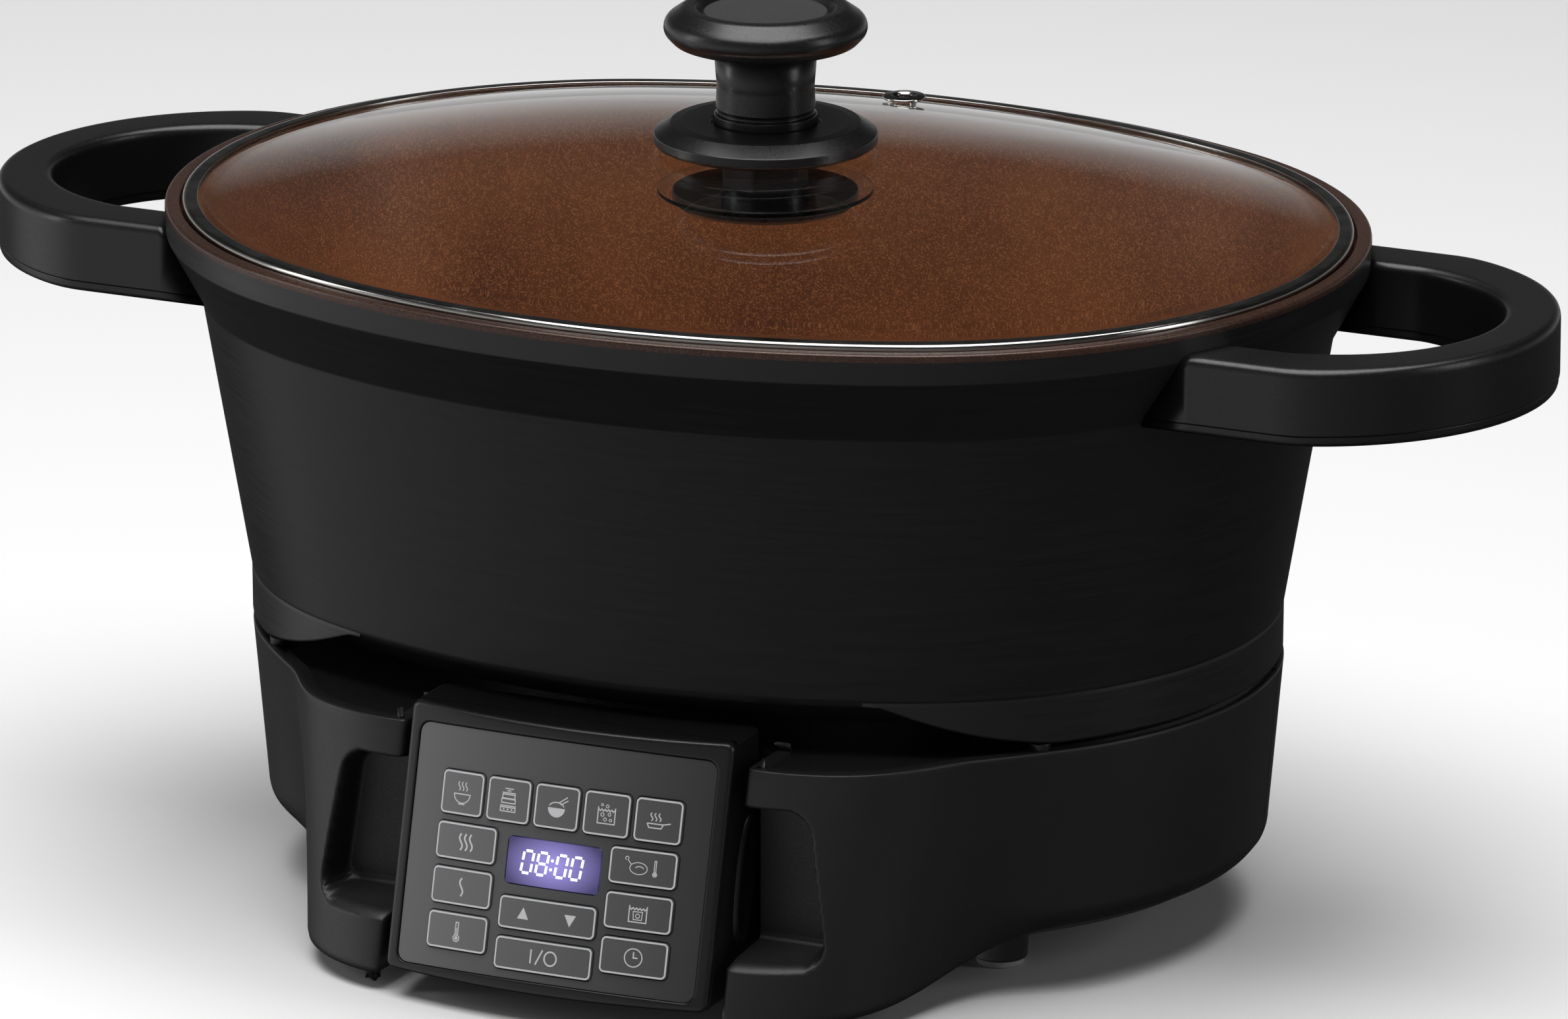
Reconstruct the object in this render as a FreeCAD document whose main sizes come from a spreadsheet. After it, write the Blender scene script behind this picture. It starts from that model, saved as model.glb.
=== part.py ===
"""Oval slow cooker: heated base with a slide-out control module, a cast pot and a glass lid.

Millimetres, +Z up, +X along the pot's long axis, the control panel faces -Y.
The origin is on the table, below the middle of the overall box.
"""
import FreeCAD, Part
import math
import os
import re
import Sketcher

Vector = FreeCAD.Vector
doc = FreeCAD.newDocument("slow_cooker")
sheet = doc.addObject("Spreadsheet::Sheet", "sizes")

# ---------------------------------------------------------------- driving sizes
SIZES = {
    # pot, measured at its rolled rim; each inset is counted inwards from the rim's outline
    "rim_half_length": 180, "rim_half_width": 144.4, "rim_side_bulge": 9.4,
    "rim_height": 203, "rim_band": 9, "shoulder_drop": 28, "shoulder_inset": 10.5,
    "wall_foot_drop": 110.5, "wall_foot_inset": 24.2, "pot_corner": 7.5, "pot_wall": 2.6,
    "lid_seat_inset": 4.4, "lid_seat_width": 4.6, "lid_seat_drop": 3.7,
    "skirt_inset": 24.4, "skirt_wall": 2.6, "skirt_drop": 124, "skirt_tip_reach": 86, "skirt_full_reach": 127,
    # lid
    "lid_gap": 0.6, "lid_band": 4.6, "lid_rim_rise": 1.6, "glass_wall": 4, "dome_rise": 20,
    "vent_radius": 5, "vent_reach": 96,
    # knob, all radii about the lid's centre
    "knob_screw_radius": 2.5, "flange_radius": 32.7, "flange_top_radius": 27.7, "flange_thick": 6.9,
    "flange_band": 3.4, "stem_radius": 14.6, "stem_length": 21.5, "cap_radius": 29.9, "cap_thick": 13,
    "cap_recess_radius": 18.6, "cap_recess": 2.4, "hex_radius": 13, "hex_length": 10.5,
    "inner_disc_radius": 27.1, "inner_disc_thick": 3.5, "inner_seal_radius": 31.5, "inner_seal_thick": 1.2,
    # handles
    "handle_reach": 244.5, "handle_half_width": 68, "handle_bar": 19.5, "handle_end_radius": 72,
    "handle_tip": 15.5, "handle_hole_radius": 48.6, "handle_top_drop": 7, "handle_thick": 22.5, "handle_cover_thick": 3,
    # base
    "base_top": 76.5, "base_inset": 24.2, "base_draft": 6, "base_wall": 2.5, "base_foot": 20, "prow_foot": 5,
    "pocket_wide": 22, "pocket_low": 22.5, "pocket_high": 65, "peg_radius": 3, "floor_thick": 2.5,
    "slot_back": 107, "deck_thick": 2.5, "module_gap": 2.6,
    "plate_half_length": 100, "plate_half_width": 72, "plate_thick": 7, "plate_hole": 9, "pan_depth": 29,
    "seam_y": 25, "foot_x": 96, "foot_front": 44, "foot_rear": 62, "foot_radius": 7, "foot_pad": 2,
    # control module
    "panel_half_width": 51, "panel_low": 8.9, "panel_high": 83.9, "panel_lean": 14.3, "panel_bow": 210,
    "panel_front": 144.95, "bezel_thick": 3, "bezel_depth": 9.5, "module_wall": 2.2,
    "overlay_half_width": 47.2, "overlay_half_height": 34.8, "overlay_thick": 1, "overlay_step": 0.5,
    "key_pitch": 15.53, "key_wide": 14.2, "key_tall": 12.7, "key_row": 15.9, "key_left": -30.2,
    "side_key_wide": 20.2, "side_key_tall": 10.7, "side_key_pitch": 12.9, "side_key_row": 2.05,
    "side_key_left": -27.3, "side_key_right": 28.8,
    "middle_wide": 30.8, "middle_tall": 9.5, "middle_x": 1.2, "adjust_row": -15.7, "power_row": -27.4,
    "display_wide": 29.4, "display_tall": 13.4, "display_row": -0.8,
    "key_clear": 0.35, "key_proud": 0.7, "key_thick": 2.4, "key_travel": 0.5, "pivot_radius": 0.8,
    "pivot_depth": 2.6,
}
# sizes that follow from the ones above
FOLLOWING = {
    "rim_end_radius": "=rim_half_width - rim_side_bulge",
    "slot_half_width": "=panel_half_width + 3",
}
for row, (name, size) in enumerate({**SIZES, **FOLLOWING}.items(), start=1):
    sheet.set("A%d" % row, name)
    sheet.set("B%d" % row, str(size))
    sheet.setAlias("B%d" % row, name)
doc.recompute()


# ---------------------------------------------------------------- helpers
def bind(formula):
    """A formula in the sheet's own words becomes an expression FreeCAD can hold."""
    def cell(match):
        known = match.group(0) in SIZES or match.group(0) in FOLLOWING
        return "sizes." + match.group(0) if known else match.group(0)
    return re.sub(r"[a-z][a-z_]*", cell, str(formula))


def value(formula):
    return float(sheet.evalExpression(bind(formula)))


def drive(thing, **formulas):
    """Bind each property (dots written as double underscores) to a formula."""
    for key, formula in formulas.items():
        thing.setExpression(key.replace("__", "."), bind(formula))
    return thing


SET_Y = {}  # the Y formula of everything that put() has placed


def put(thing, x=0, y=0, z=0):
    SET_Y[thing.Name] = str(y)
    return drive(thing, Placement__Base__x=x, Placement__Base__y=y, Placement__Base__z=z)


def box(name, low, high):
    """A Part::Box between two corners, each corner three formulas."""
    thing = doc.addObject("Part::Box", name)
    drive(thing, Length="(%s) - (%s)" % (high[0], low[0]), Width="(%s) - (%s)" % (high[1], low[1]),
          Height="(%s) - (%s)" % (high[2], low[2]))
    return put(thing, *low)


def cylinder(name, radius, low, high, x=0, y=0):
    thing = doc.addObject("Part::Cylinder", name)
    drive(thing, Radius=radius, Height="(%s) - (%s)" % (high, low))
    return put(thing, x, y, low)


def cross_cylinder(name, radius, length, x, y, z):
    """A cylinder that lies along +Y from the given point."""
    thing = doc.addObject("Part::Cylinder", name)
    drive(thing, Radius=radius, Height=length)
    thing.Placement.Rotation = FreeCAD.Rotation(Vector(1, 0, 0), -90)
    return put(thing, x, y, z)


def cut(name, base, *tools):
    for count, tool in enumerate(tools):
        thing = doc.addObject("Part::Cut", name if count == len(tools) - 1 else name + "_cut%d" % count)
        thing.Base, thing.Tool = base, tool
        base = thing
    return base


def fuse(name, *pieces):
    thing = doc.addObject("Part::MultiFuse", name)
    thing.Shapes = list(pieces)
    return thing


def common(name, *pieces):
    thing = doc.addObject("Part::MultiCommon", name)
    thing.Shapes = list(pieces)
    return thing


def group(name, pieces):
    thing = doc.addObject("Part::Compound", name)
    thing.Links = pieces
    return thing


def new_sketch(body, role, name):
    sketch = body.newObject("Sketcher::SketchObject", name)
    plane = next(item for item in body.Origin.OriginFeatures if item.Role == role)
    sketch.AttachmentSupport = (plane, [""])
    sketch.MapMode = "FlatFace"
    return sketch


def hold(sketch, kind, *where, formula):
    """Add one driving constraint whose size is a formula."""
    index = sketch.addConstraint(Sketcher.Constraint(kind, *where, value(formula)))
    sketch.setExpression("Constraints[%d]" % index, bind(formula))


def outline(sketch, points):
    """A closed outline of straight lines through points given as pairs of formulas."""
    spots = [Vector(value(x), value(y), 0) for x, y in points]
    count = len(spots)
    lines = [sketch.addGeometry(Part.LineSegment(spots[i], spots[(i + 1) % count])) for i in range(count)]
    for i in range(count):
        sketch.addConstraint(Sketcher.Constraint("Coincident", lines[i], 2, lines[(i + 1) % count], 1))
    for line, (x, y) in zip(lines, points):
        if x == 0:
            sketch.addConstraint(Sketcher.Constraint("PointOnObject", line, 1, -2))
        else:
            hold(sketch, "DistanceX", -1, 1, line, 1, formula=x)
        if y == 0:
            sketch.addConstraint(Sketcher.Constraint("PointOnObject", line, 1, -1))
        else:
            hold(sketch, "DistanceY", -1, 1, line, 1, formula=y)


def oval(sketch, half_length, half_width, end_radius, inset="0"):
    """Four tangent arcs; every inset keeps the same four centres, so walls stay parallel."""
    side = "(((%(a)s)-(%(r)s))^2+(%(b)s)^2-(%(r)s)^2)/(2*((%(b)s)-(%(r)s)))" % {
        "a": half_length, "b": half_width, "r": end_radius}
    end_middle = "(%s)-(%s)" % (half_length, end_radius)
    end, flank = value(end_radius) - value(inset), value(side) - value(inset)
    across, up = value(end_middle), value(side) - value(half_width)
    turn = math.atan2(up, across)
    spans = [((across, 0), end, -turn, turn), ((0, -up), flank, turn, math.pi - turn),
             ((-across, 0), end, math.pi - turn, math.pi + turn),
             ((0, up), flank, math.pi + turn, 2 * math.pi - turn)]
    arcs = []
    for (x, y), radius, start, stop in spans:
        circle = Part.Circle(Vector(x, y, 0), Vector(0, 0, 1), radius)
        arcs.append(sketch.addGeometry(Part.ArcOfCircle(circle, start, stop)))
    for i in range(4):
        sketch.addConstraint(Sketcher.Constraint("Tangent", arcs[i], 2, arcs[(i + 1) % 4], 1))
    for arc, axis in ((arcs[0], -1), (arcs[1], -2), (arcs[3], -2)):
        sketch.addConstraint(Sketcher.Constraint("PointOnObject", arc, 3, axis))
    sketch.addConstraint(Sketcher.Constraint("Equal", arcs[0], arcs[2]))
    sketch.addConstraint(Sketcher.Constraint("Equal", arcs[1], arcs[3]))
    hold(sketch, "Radius", arcs[0], formula="(%s)-(%s)" % (end_radius, inset))
    hold(sketch, "Radius", arcs[1], formula="(%s)-(%s)" % (side, inset))
    hold(sketch, "DistanceX", -1, 1, arcs[0], 3, formula=end_middle)


def oval_stack(name, sections):
    """A loft through ovals; each section is (half length, half width, end radius, inset, height)."""
    body = doc.addObject("PartDesign::Body", name)
    sketches = []
    for number, (length, width, radius, inset, height) in enumerate(sections):
        sketch = new_sketch(body, "XY_Plane", "%s_section%d" % (name, number))
        oval(sketch, length, width, radius, inset)
        drive(sketch, AttachmentOffset__Base__z=height)
        sketches.append(sketch)
    loft = body.newObject("PartDesign::AdditiveLoft", name + "_loft")
    loft.Profile, loft.Sections, loft.Ruled = sketches[0], sketches[1:], True
    body.Tip = loft
    return body


def pot_oval(inset, height):
    return ("rim_half_length", "rim_half_width", "rim_end_radius", inset, height)


def turned(name, points):
    """A body of revolution about Z; points are (radius, height) formulas."""
    body = doc.addObject("PartDesign::Body", name)
    sketch = new_sketch(body, "XZ_Plane", name + "_profile")
    outline(sketch, points)
    turn = body.newObject("PartDesign::Revolution", name + "_turn")
    turn.Profile = sketch
    turn.ReferenceAxis = (sketch, ["V_Axis"])
    turn.Angle = 360
    body.Tip = turn
    return body


def slab(name, points, low, high, role="XY_Plane"):
    """A pad of an outline. XY: from low to high in Z. YZ: symmetric about X = 0, high is half the width."""
    body = doc.addObject("PartDesign::Body", name)
    sketch = new_sketch(body, role, name + "_outline")
    outline(sketch, points)
    pad = body.newObject("PartDesign::Pad", name + "_pad")
    pad.Profile = sketch
    if role == "XY_Plane":
        drive(sketch, AttachmentOffset__Base__z=low)
        drive(pad, Length="(%s) - (%s)" % (high, low))
    else:
        pad.Midplane = True
        drive(pad, Length="2*(%s)" % high)
    body.Tip = pad
    return body


nodes = {}


def node(name, thing):
    thing.Label = name
    nodes[name] = thing
    return thing


# the whole object is moved along Y so that the origin is below the middle of its box
FRONT = "panel_front + (panel_high - panel_low)/2*tan(panel_lean * 1deg)"
SHIFT = "((%s) - rim_half_width) / 2" % FRONT
FAR = "400"  # beyond every piece, for cutting tools

# ---------------------------------------------------------------- pot
rim = "rim_height"


def corner_inset(turn_deg, wall="0"):
    return "wall_foot_inset + pot_corner - (pot_corner - (%s)) * cos(%g deg)" % (wall, turn_deg)


def corner_height(turn_deg, wall="0"):
    return "rim_height - wall_foot_drop - (pot_corner - (%s)) * sin(%g deg)" % (wall, turn_deg)


CORNER_TURNS = (10, 30, 50, 70, 90)
outer = [pot_oval("0", rim), pot_oval("0", "rim_height - rim_band"),
         pot_oval("shoulder_inset", "rim_height - shoulder_drop")]
outer += [pot_oval(corner_inset(turn), corner_height(turn)) for turn in CORNER_TURNS]
pot_outside = oval_stack("pot_outside", outer)

inner_step = "lid_seat_inset + lid_seat_width"
inner = [pot_oval(inner_step, "rim_height + 1"), pot_oval(inner_step, "rim_height - lid_seat_drop"),
         pot_oval("shoulder_inset + pot_wall", "rim_height - shoulder_drop")]
inner += [pot_oval(corner_inset(turn, "pot_wall"), corner_height(turn, "pot_wall")) for turn in CORNER_TURNS]
pot_inside = oval_stack("pot_inside", inner)
lid_seat = oval_stack("lid_seat", [pot_oval("lid_seat_inset", "rim_height + 1"),
                                   pot_oval("lid_seat_inset", "rim_height - lid_seat_drop")])

skirt_top = "rim_height - wall_foot_drop"
skirt_foot = "rim_height - skirt_drop"
skirt_out = oval_stack("skirt_out", [pot_oval("skirt_inset", skirt_top), pot_oval("skirt_inset", skirt_foot)])
skirt_ring = cut("skirt_ring", skirt_out,
                 oval_stack("skirt_in", [pot_oval("skirt_inset + skirt_wall", skirt_top + " + 1"),
                                         pot_oval("skirt_inset + skirt_wall", skirt_foot + " - 1")]))
tip, full = "skirt_tip_reach", "skirt_full_reach"
arch = []
for side in (1, -1):
    edge = [("%d*(%s)" % (side, full), skirt_foot + " - 2"), ("%d*(%s)" % (side, full), skirt_foot),
            ("%d*((%s + %s)/2)" % (side, tip, full), skirt_foot + " + 5"),
            ("%d*(%s)" % (side, tip), skirt_foot + " + 13"), ("%d*(%s)" % (side, tip), skirt_top + " + 2")]
    arch += edge if side == 1 else edge[::-1]
arch_tool = doc.addObject("PartDesign::Body", "skirt_arch")
arch_sketch = new_sketch(arch_tool, "XZ_Plane", "skirt_arch_outline")
outline(arch_sketch, arch)
arch_pad = arch_tool.newObject("PartDesign::Pad", "skirt_arch_pad")
arch_pad.Profile, arch_pad.Midplane = arch_sketch, True
drive(arch_pad, Length="4*rim_half_width")
arch_tool.Tip = arch_pad
skirt = cut("skirt", skirt_ring, arch_tool)
node("pot_body", cut("pot_hollow", fuse("pot_solid", pot_outside, skirt), pot_inside, lid_seat))


# ---------------------------------------------------------------- handles
def handle_plate(name, low, high, trim="0"):
    """The loop of one handle seen from above, on the +X side, with its outer edge trimmed inwards."""
    body = doc.addObject("PartDesign::Body", name)
    sketch = new_sketch(body, "XY_Plane", name + "_outline")
    for middle, radius, half, inner_end in (
            ("handle_reach - handle_end_radius", "handle_end_radius - (%s)" % trim,
             "handle_half_width - (%s)" % trim, "rim_half_length * 0.6"),
            ("handle_reach - handle_tip - handle_hole_radius", "handle_hole_radius + (%s)" % trim,
             "handle_half_width - handle_bar + (%s)" % trim, "rim_half_length * 0.7")):
        start = "%s + sqrt((%s)^2 - (%s)^2)" % (middle, radius, half)
        root, arm, bend, rise = (value(x) for x in (inner_end, start, middle, radius))
        reach = value(half)
        turn = math.atan2(reach, arm - bend)
        low_line = sketch.addGeometry(Part.LineSegment(Vector(root, -reach, 0), Vector(arm, -reach, 0)))
        circle = Part.Circle(Vector(bend, 0, 0), Vector(0, 0, 1), rise)
        arc = sketch.addGeometry(Part.ArcOfCircle(circle, -turn, turn))
        high_line = sketch.addGeometry(Part.LineSegment(Vector(arm, reach, 0), Vector(root, reach, 0)))
        close = sketch.addGeometry(Part.LineSegment(Vector(root, reach, 0), Vector(root, -reach, 0)))
        for first, second in ((low_line, arc), (arc, high_line), (high_line, close), (close, low_line)):
            sketch.addConstraint(Sketcher.Constraint("Coincident", first, 2, second, 1))
        sketch.addConstraint(Sketcher.Constraint("Horizontal", low_line))
        sketch.addConstraint(Sketcher.Constraint("Horizontal", high_line))
        sketch.addConstraint(Sketcher.Constraint("Vertical", close))
        sketch.addConstraint(Sketcher.Constraint("PointOnObject", arc, 3, -1))
        hold(sketch, "Radius", arc, formula=radius)
        hold(sketch, "DistanceX", -1, 1, arc, 3, formula=middle)
        hold(sketch, "DistanceX", -1, 1, close, 1, formula=inner_end)
        hold(sketch, "DistanceY", -1, 1, close, 1, formula=half)
        hold(sketch, "DistanceY", -1, 1, close, 2, formula="-(%s)" % half)
    drive(sketch, AttachmentOffset__Base__z=low)
    pad = body.newObject("PartDesign::Pad", name + "_pad")
    pad.Profile = sketch
    drive(pad, Length="(%s) - (%s)" % (high, low))
    body.Tip = pad
    return body


def mirrored(name, thing):
    """The same piece on the -X side."""
    twin = doc.addObject("Part::Mirroring", name)
    twin.Source, twin.Normal, twin.Base = thing, Vector(1, 0, 0), Vector(0, 0, 0)
    return twin


handle_top = "rim_height - handle_top_drop"
handle_low = "rim_height - handle_top_drop - handle_thick"
cover_top = handle_low + " + handle_cover_thick"
pot_block = oval_stack("pot_block", [pot_oval("0", handle_top + " + 1"), pot_oval("0", "rim_height - rim_band"),
                                     pot_oval("shoulder_inset", "rim_height - shoulder_drop"),
                                     pot_oval("wall_foot_inset", "rim_height - wall_foot_drop")])
bracket_z = handle_top + " - 9"
ARMS = ((1, "-(handle_half_width - 12)"), (2, "handle_half_width - 12"))  # the middles of a handle's two arms
screw_x = "rim_half_length - 2"
bracket_slots = [box("bracket_slot%d" % n, ("rim_half_length * 0.6", arm + " - 5.2", bracket_z + " - 2.2"),
                     ("rim_half_length + 12", arm + " + 5.2", bracket_z + " + 2.2")) for n, arm in ARMS]
screw_holes = [cylinder("handle_screw_hole%d" % n, "2.1", handle_low, bracket_z, screw_x, arm)
               for n, arm in ARMS]
grip = cut("handle_grip", handle_plate("handle_loop", cover_top, handle_top), pot_block, *bracket_slots,
           *screw_holes)
cover_holes = [cylinder("cover_screw_hole%d" % n, "2.1", handle_low + " - 1", cover_top + " + 1", screw_x, arm)
               for n, arm in ARMS]
under = cut("handle_under", handle_plate("handle_under_loop", handle_low, cover_top, "0.4"), pot_block,
            *cover_holes)
node("handle_right", grip)
node("handle_left", mirrored("handle_left_twin", grip))
node("handle_cover_right", under)
node("handle_cover_left", mirrored("handle_cover_left_twin", under))

tongues = []
screws = []
for number, (side_x, side_y) in enumerate(((1, -1), (1, 1), (-1, -1), (-1, 1))):
    reach = ("rim_half_length - 35", "rim_half_length + 11")
    low_x, high_x = reach if side_x == 1 else ["-(%s)" % x for x in reach[::-1]]
    tongue = box("tongue%d" % number, (low_x, "%d*(handle_half_width - 12) - 5" % side_y, bracket_z + " - 2"),
                 (high_x, "%d*(handle_half_width - 12) + 5" % side_y, bracket_z + " + 2"))
    tongues.append(cut("bracket%d" % number, tongue, pot_block))
    where = ("%d*(rim_half_length - 2)" % side_x, "%d*(handle_half_width - 12)" % side_y)
    shank = cylinder("handle_shank%d" % number, "2", handle_low + " + 1.4", bracket_z + " - 2", *where)
    screws.append(shank)
node("handle_brackets", group("bracket_group", tongues))
node("handle_screws", group("handle_screw_group", screws))

# ---------------------------------------------------------------- lid
seat_z = "rim_height - lid_seat_drop"
lid_out = "lid_seat_inset + lid_gap"
lid_top = "rim_height + lid_rim_rise"
ring_low = seat_z + " + 0.1"
lid_ring = cut("lid_ring", oval_stack("ring_out", [pot_oval(lid_out, ring_low), pot_oval(lid_out, lid_top)]),
               oval_stack("ring_in", [pot_oval(lid_out + " + lid_band", ring_low + " - 1"),
                                      pot_oval(lid_out + " + lid_band", lid_top + " + 1")]),
               oval_stack("ring_groove", [pot_oval(lid_out + " + 0.8", ring_low + " + 0.8"),
                                          pot_oval(lid_out + " + 0.8", lid_top + " - 0.8")]))
node("lid_rim", lid_ring)

glass_inset = lid_out + " + 0.9"
glass_foot = ring_low + " + 0.9"
edge_thick = "(%s - 0.9) - (%s)" % (lid_top, glass_foot)


def dome(name, inset, foot, rise, shares=(1, 0.94, 0.86, 0.76, 0.64, 0.5, 0.34, 0.15)):
    """A shallow dome over the rim's oval; each section is that oval scaled by one of the shares."""
    sections = []
    for k in shares:
        sizes = ["(%s - (%s))*%g" % (size, inset, k) for size in pot_oval("0", "0")[:3]]
        sections.append((*sizes, "0", "(%s) + (%s)*%g" % (foot, rise, 1 - k * k)))
    return oval_stack(name, sections)


glass_edge = oval_stack("glass_edge", [pot_oval(glass_inset, glass_foot),
                                       pot_oval(glass_inset, "(%s) + (%s)" % (glass_foot, edge_thick))])
dome_inset = lid_out + " + lid_band + 0.2"
glass_cap = dome("glass_cap", dome_inset, "(%s) + (%s)" % (glass_foot, edge_thick), "dome_rise")
glass_hollow = dome("glass_hollow", dome_inset + " + 3", glass_foot + " - 0.1",
                    "dome_rise + (%s) - glass_wall" % edge_thick)
glass_top = "((%s) + (%s) + dome_rise*0.9775)" % (glass_foot, edge_thick)
over_dome = "rim_height + 60"
screw_hole = cylinder("glass_hole", "knob_screw_radius + 1.5", "rim_height - 5", over_dome)
vent_hole = cylinder("vent_hole", "vent_radius - 1", "rim_height - 5", over_dome, "0", "vent_reach")
glass_solid = fuse("glass_solid", glass_edge, glass_cap)
node("lid_glass", cut("glass", glass_solid, glass_hollow, screw_hole, vent_hole))

vent_z = "((%s) + (%s) + dome_rise*(1 - (vent_reach/(rim_half_width - (%s)))^2))" % (
    glass_foot, edge_thick, dome_inset)
eyelet = turned("eyelet", [
    ("vent_radius - 2", "-5.5"), ("vent_radius - 1.3", "-5.5"), ("vent_radius - 1.3", "1.2"),
    ("vent_radius + 1.5", "1.2"), ("vent_radius + 1.5", "2"), ("vent_radius - 2", "2")])
put(eyelet, "0", "vent_reach", vent_z)
node("vent_eyelet", eyelet)

# knob: heights counted up from the top of the glass
bore = "knob_screw_radius + 0.1"
flange_low = glass_top + " + 0.5"
flange_high = "(%s) + flange_thick" % flange_low
stem_high = "(%s) + stem_length" % flange_high
cap_high = "(%s) + cap_thick" % stem_high
node("knob_flange", turned("flange", [
    (bore, flange_low), ("flange_radius", flange_low), ("flange_radius", "(%s) + flange_band" % flange_low),
    ("flange_top_radius", flange_high), (bore, flange_high)]))
node("knob_stem", turned("stem", [
    (bore, flange_high), ("stem_radius + 0.4", flange_high), ("stem_radius + 0.4", "(%s) + 2.2" % flange_high),
    ("stem_radius - 0.6", "(%s) + 3.2" % flange_high),
    ("stem_radius - 0.2", "(%s) + stem_length*0.55" % flange_high),
    ("stem_radius + 0.4", stem_high), (bore, stem_high)]))
node("knob_cap", turned("cap", [
    ("0", "(%s) + 5" % stem_high), ("knob_screw_radius + 0.3", "(%s) + 5" % stem_high),
    ("knob_screw_radius + 0.3", stem_high),
    ("stem_radius + 2", stem_high), ("cap_radius - 3", "(%s) + 2.5" % stem_high),
    ("cap_radius", "(%s) + 6" % stem_high), ("cap_radius - 1.2", "(%s) + 9" % stem_high),
    ("cap_radius - 6", cap_high), ("cap_recess_radius + 1.5", cap_high),
    ("cap_recess_radius", "(%s) - cap_recess" % cap_high), ("0", "(%s) - cap_recess" % cap_high)]))
node("knob_insert", turned("insert", [
    ("0", "(%s) - cap_recess" % cap_high), ("cap_recess_radius - 0.4", "(%s) - cap_recess" % cap_high),
    ("cap_recess_radius - 0.8", "(%s) - cap_recess + 0.9" % cap_high),
    ("0", "(%s) - cap_recess + 0.7" % cap_high)]))

under_z = "(%s) - glass_wall" % glass_top
hex_low = "(%s) - hex_length" % under_z
spacer = doc.addObject("Part::Prism", "hex_blank")
spacer.Polygon = 6
drive(spacer, Circumradius="hex_radius", Height="hex_length - 0.4")
put(spacer, "0", "0", hex_low)
node("hex_spacer", cut("hex_bored", spacer, cylinder("hex_bore", bore, hex_low + " - 1", under_z + " + 1")))
seal_low = "(%s) - inner_seal_thick" % hex_low
node("inner_seal", turned("seal", [
    (bore, seal_low), ("inner_seal_radius", seal_low), ("inner_seal_radius", hex_low), (bore, hex_low)]))
disc_low = "(%s) - inner_disc_thick" % seal_low
node("inner_disc", turned("disc", [
    (bore, disc_low), ("inner_disc_radius - 1.5", disc_low), ("inner_disc_radius", "(%s) + 1.2" % disc_low),
    ("inner_disc_radius", seal_low), (bore, seal_low)]))
node("knob_screw", turned("lid_screw", [
    ("0", "(%s) - 3" % disc_low), ("5", "(%s) - 3" % disc_low), ("5", disc_low),
    ("knob_screw_radius", disc_low), ("knob_screw_radius", "(%s) + 4.5" % stem_high),
    ("0", "(%s) + 4.5" % stem_high)]))

# ---------------------------------------------------------------- base housing


# plan of the prow beside the module: (outwards from the slot's side, behind the panel's own plane)
PROW_TOP = ((0, -18.3), (26, -23.3), (44, -35.3), (51, -51.3), (50, -95.3))
PROW_FOOT = ((0, 1.2), (19, -7.8), (35, -28.3), (43, -53.3), (44, -95.3))


def base_block(name, wall):
    """The outer form of the base: a drafted oval with rounded foot, and the prow around the module."""
    body = oval_stack(name + "_oval", [
        pot_oval("base_inset + %s" % wall, "base_top"),
        pot_oval("base_inset + base_draft*0.75 + %s" % wall, "base_foot + 12"),
        pot_oval("base_inset + base_draft + 3.5 + %s" % wall, "base_foot + 3.5"),
        pot_oval("base_inset + base_draft + 8 + %s" % wall, "base_foot")])
    halves = []
    for height, spots in (("base_top", PROW_TOP), ("prow_foot", PROW_FOOT)):
        points = []
        for side, order in ((-1, spots[::-1]), (1, spots)):
            points += [("%d*(slot_half_width + %g - %s)" % (side, out, wall),
                        "-(panel_front + %g - %s)" % (ahead, wall)) for out, ahead in order]
        halves.append((height, points))
    prow = doc.addObject("PartDesign::Body", name + "_prow")
    sketches = []
    for number, (height, points) in enumerate(halves):
        sketch = new_sketch(prow, "XY_Plane", "%s_prow_section%d" % (name, number))
        outline(sketch, points)
        drive(sketch, AttachmentOffset__Base__z=height)
        sketches.append(sketch)
    loft = prow.newObject("PartDesign::AdditiveLoft", name + "_prow_loft")
    loft.Profile, loft.Sections, loft.Ruled = sketches[0], sketches[1:], True
    prow.Tip = loft
    return fuse(name, body, prow)


base_outside = base_block("base_outside", "0")
base_inside = base_block("base_inside", "base_wall")
base_skin = cut("base_skin", base_outside, base_inside)


def shell_side(name):
    """The +X cover: skin, slot wall and finger pocket, up to the seam with the rear cover."""
    slot_wall = box(name + "_slot_wall", ("slot_half_width", "-" + FAR, "prow_foot"),
                    ("slot_half_width + base_wall", "-slot_back", "base_top"))
    pocket_block = box(name + "_pocket_block", ("slot_half_width", "-" + FAR, "pocket_low - base_wall"),
                       ("slot_half_width + pocket_wide + base_wall", "-(slot_back + 8)",
                        "pocket_high + base_wall"))
    pocket = box(name + "_pocket", ("slot_half_width - 1", "-" + FAR, "pocket_low"),
                 ("slot_half_width + pocket_wide", "-(slot_back + 8 + base_wall)", "pocket_high"))
    inside = common(name + "_inner", base_outside, fuse(name + "_walls", slot_wall, pocket_block))
    side = box(name + "_half", ("slot_half_width", "-" + FAR, "0"), (FAR, "seam_y", FAR))
    return cut(name, common(name + "_side", fuse(name + "_form", base_skin, inside), side), pocket)


right_shell = shell_side("shell_side")
node("base_shell_right", right_shell)
node("base_shell_left", mirrored("base_shell_left_twin", right_shell))


rear_cover = common("rear_cover", base_skin, box("rear_half", ("-" + FAR, "seam_y", "0"), (FAR, FAR, FAR)))
inlet_y = "rim_half_width - base_inset - base_draft*0.5"
inlet_mouth = box("inlet_mouth", ("-15", "0", "27"), ("15", FAR, "49"))
node("base_shell_rear", cut("rear_cover_open", rear_cover, inlet_mouth))

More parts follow.
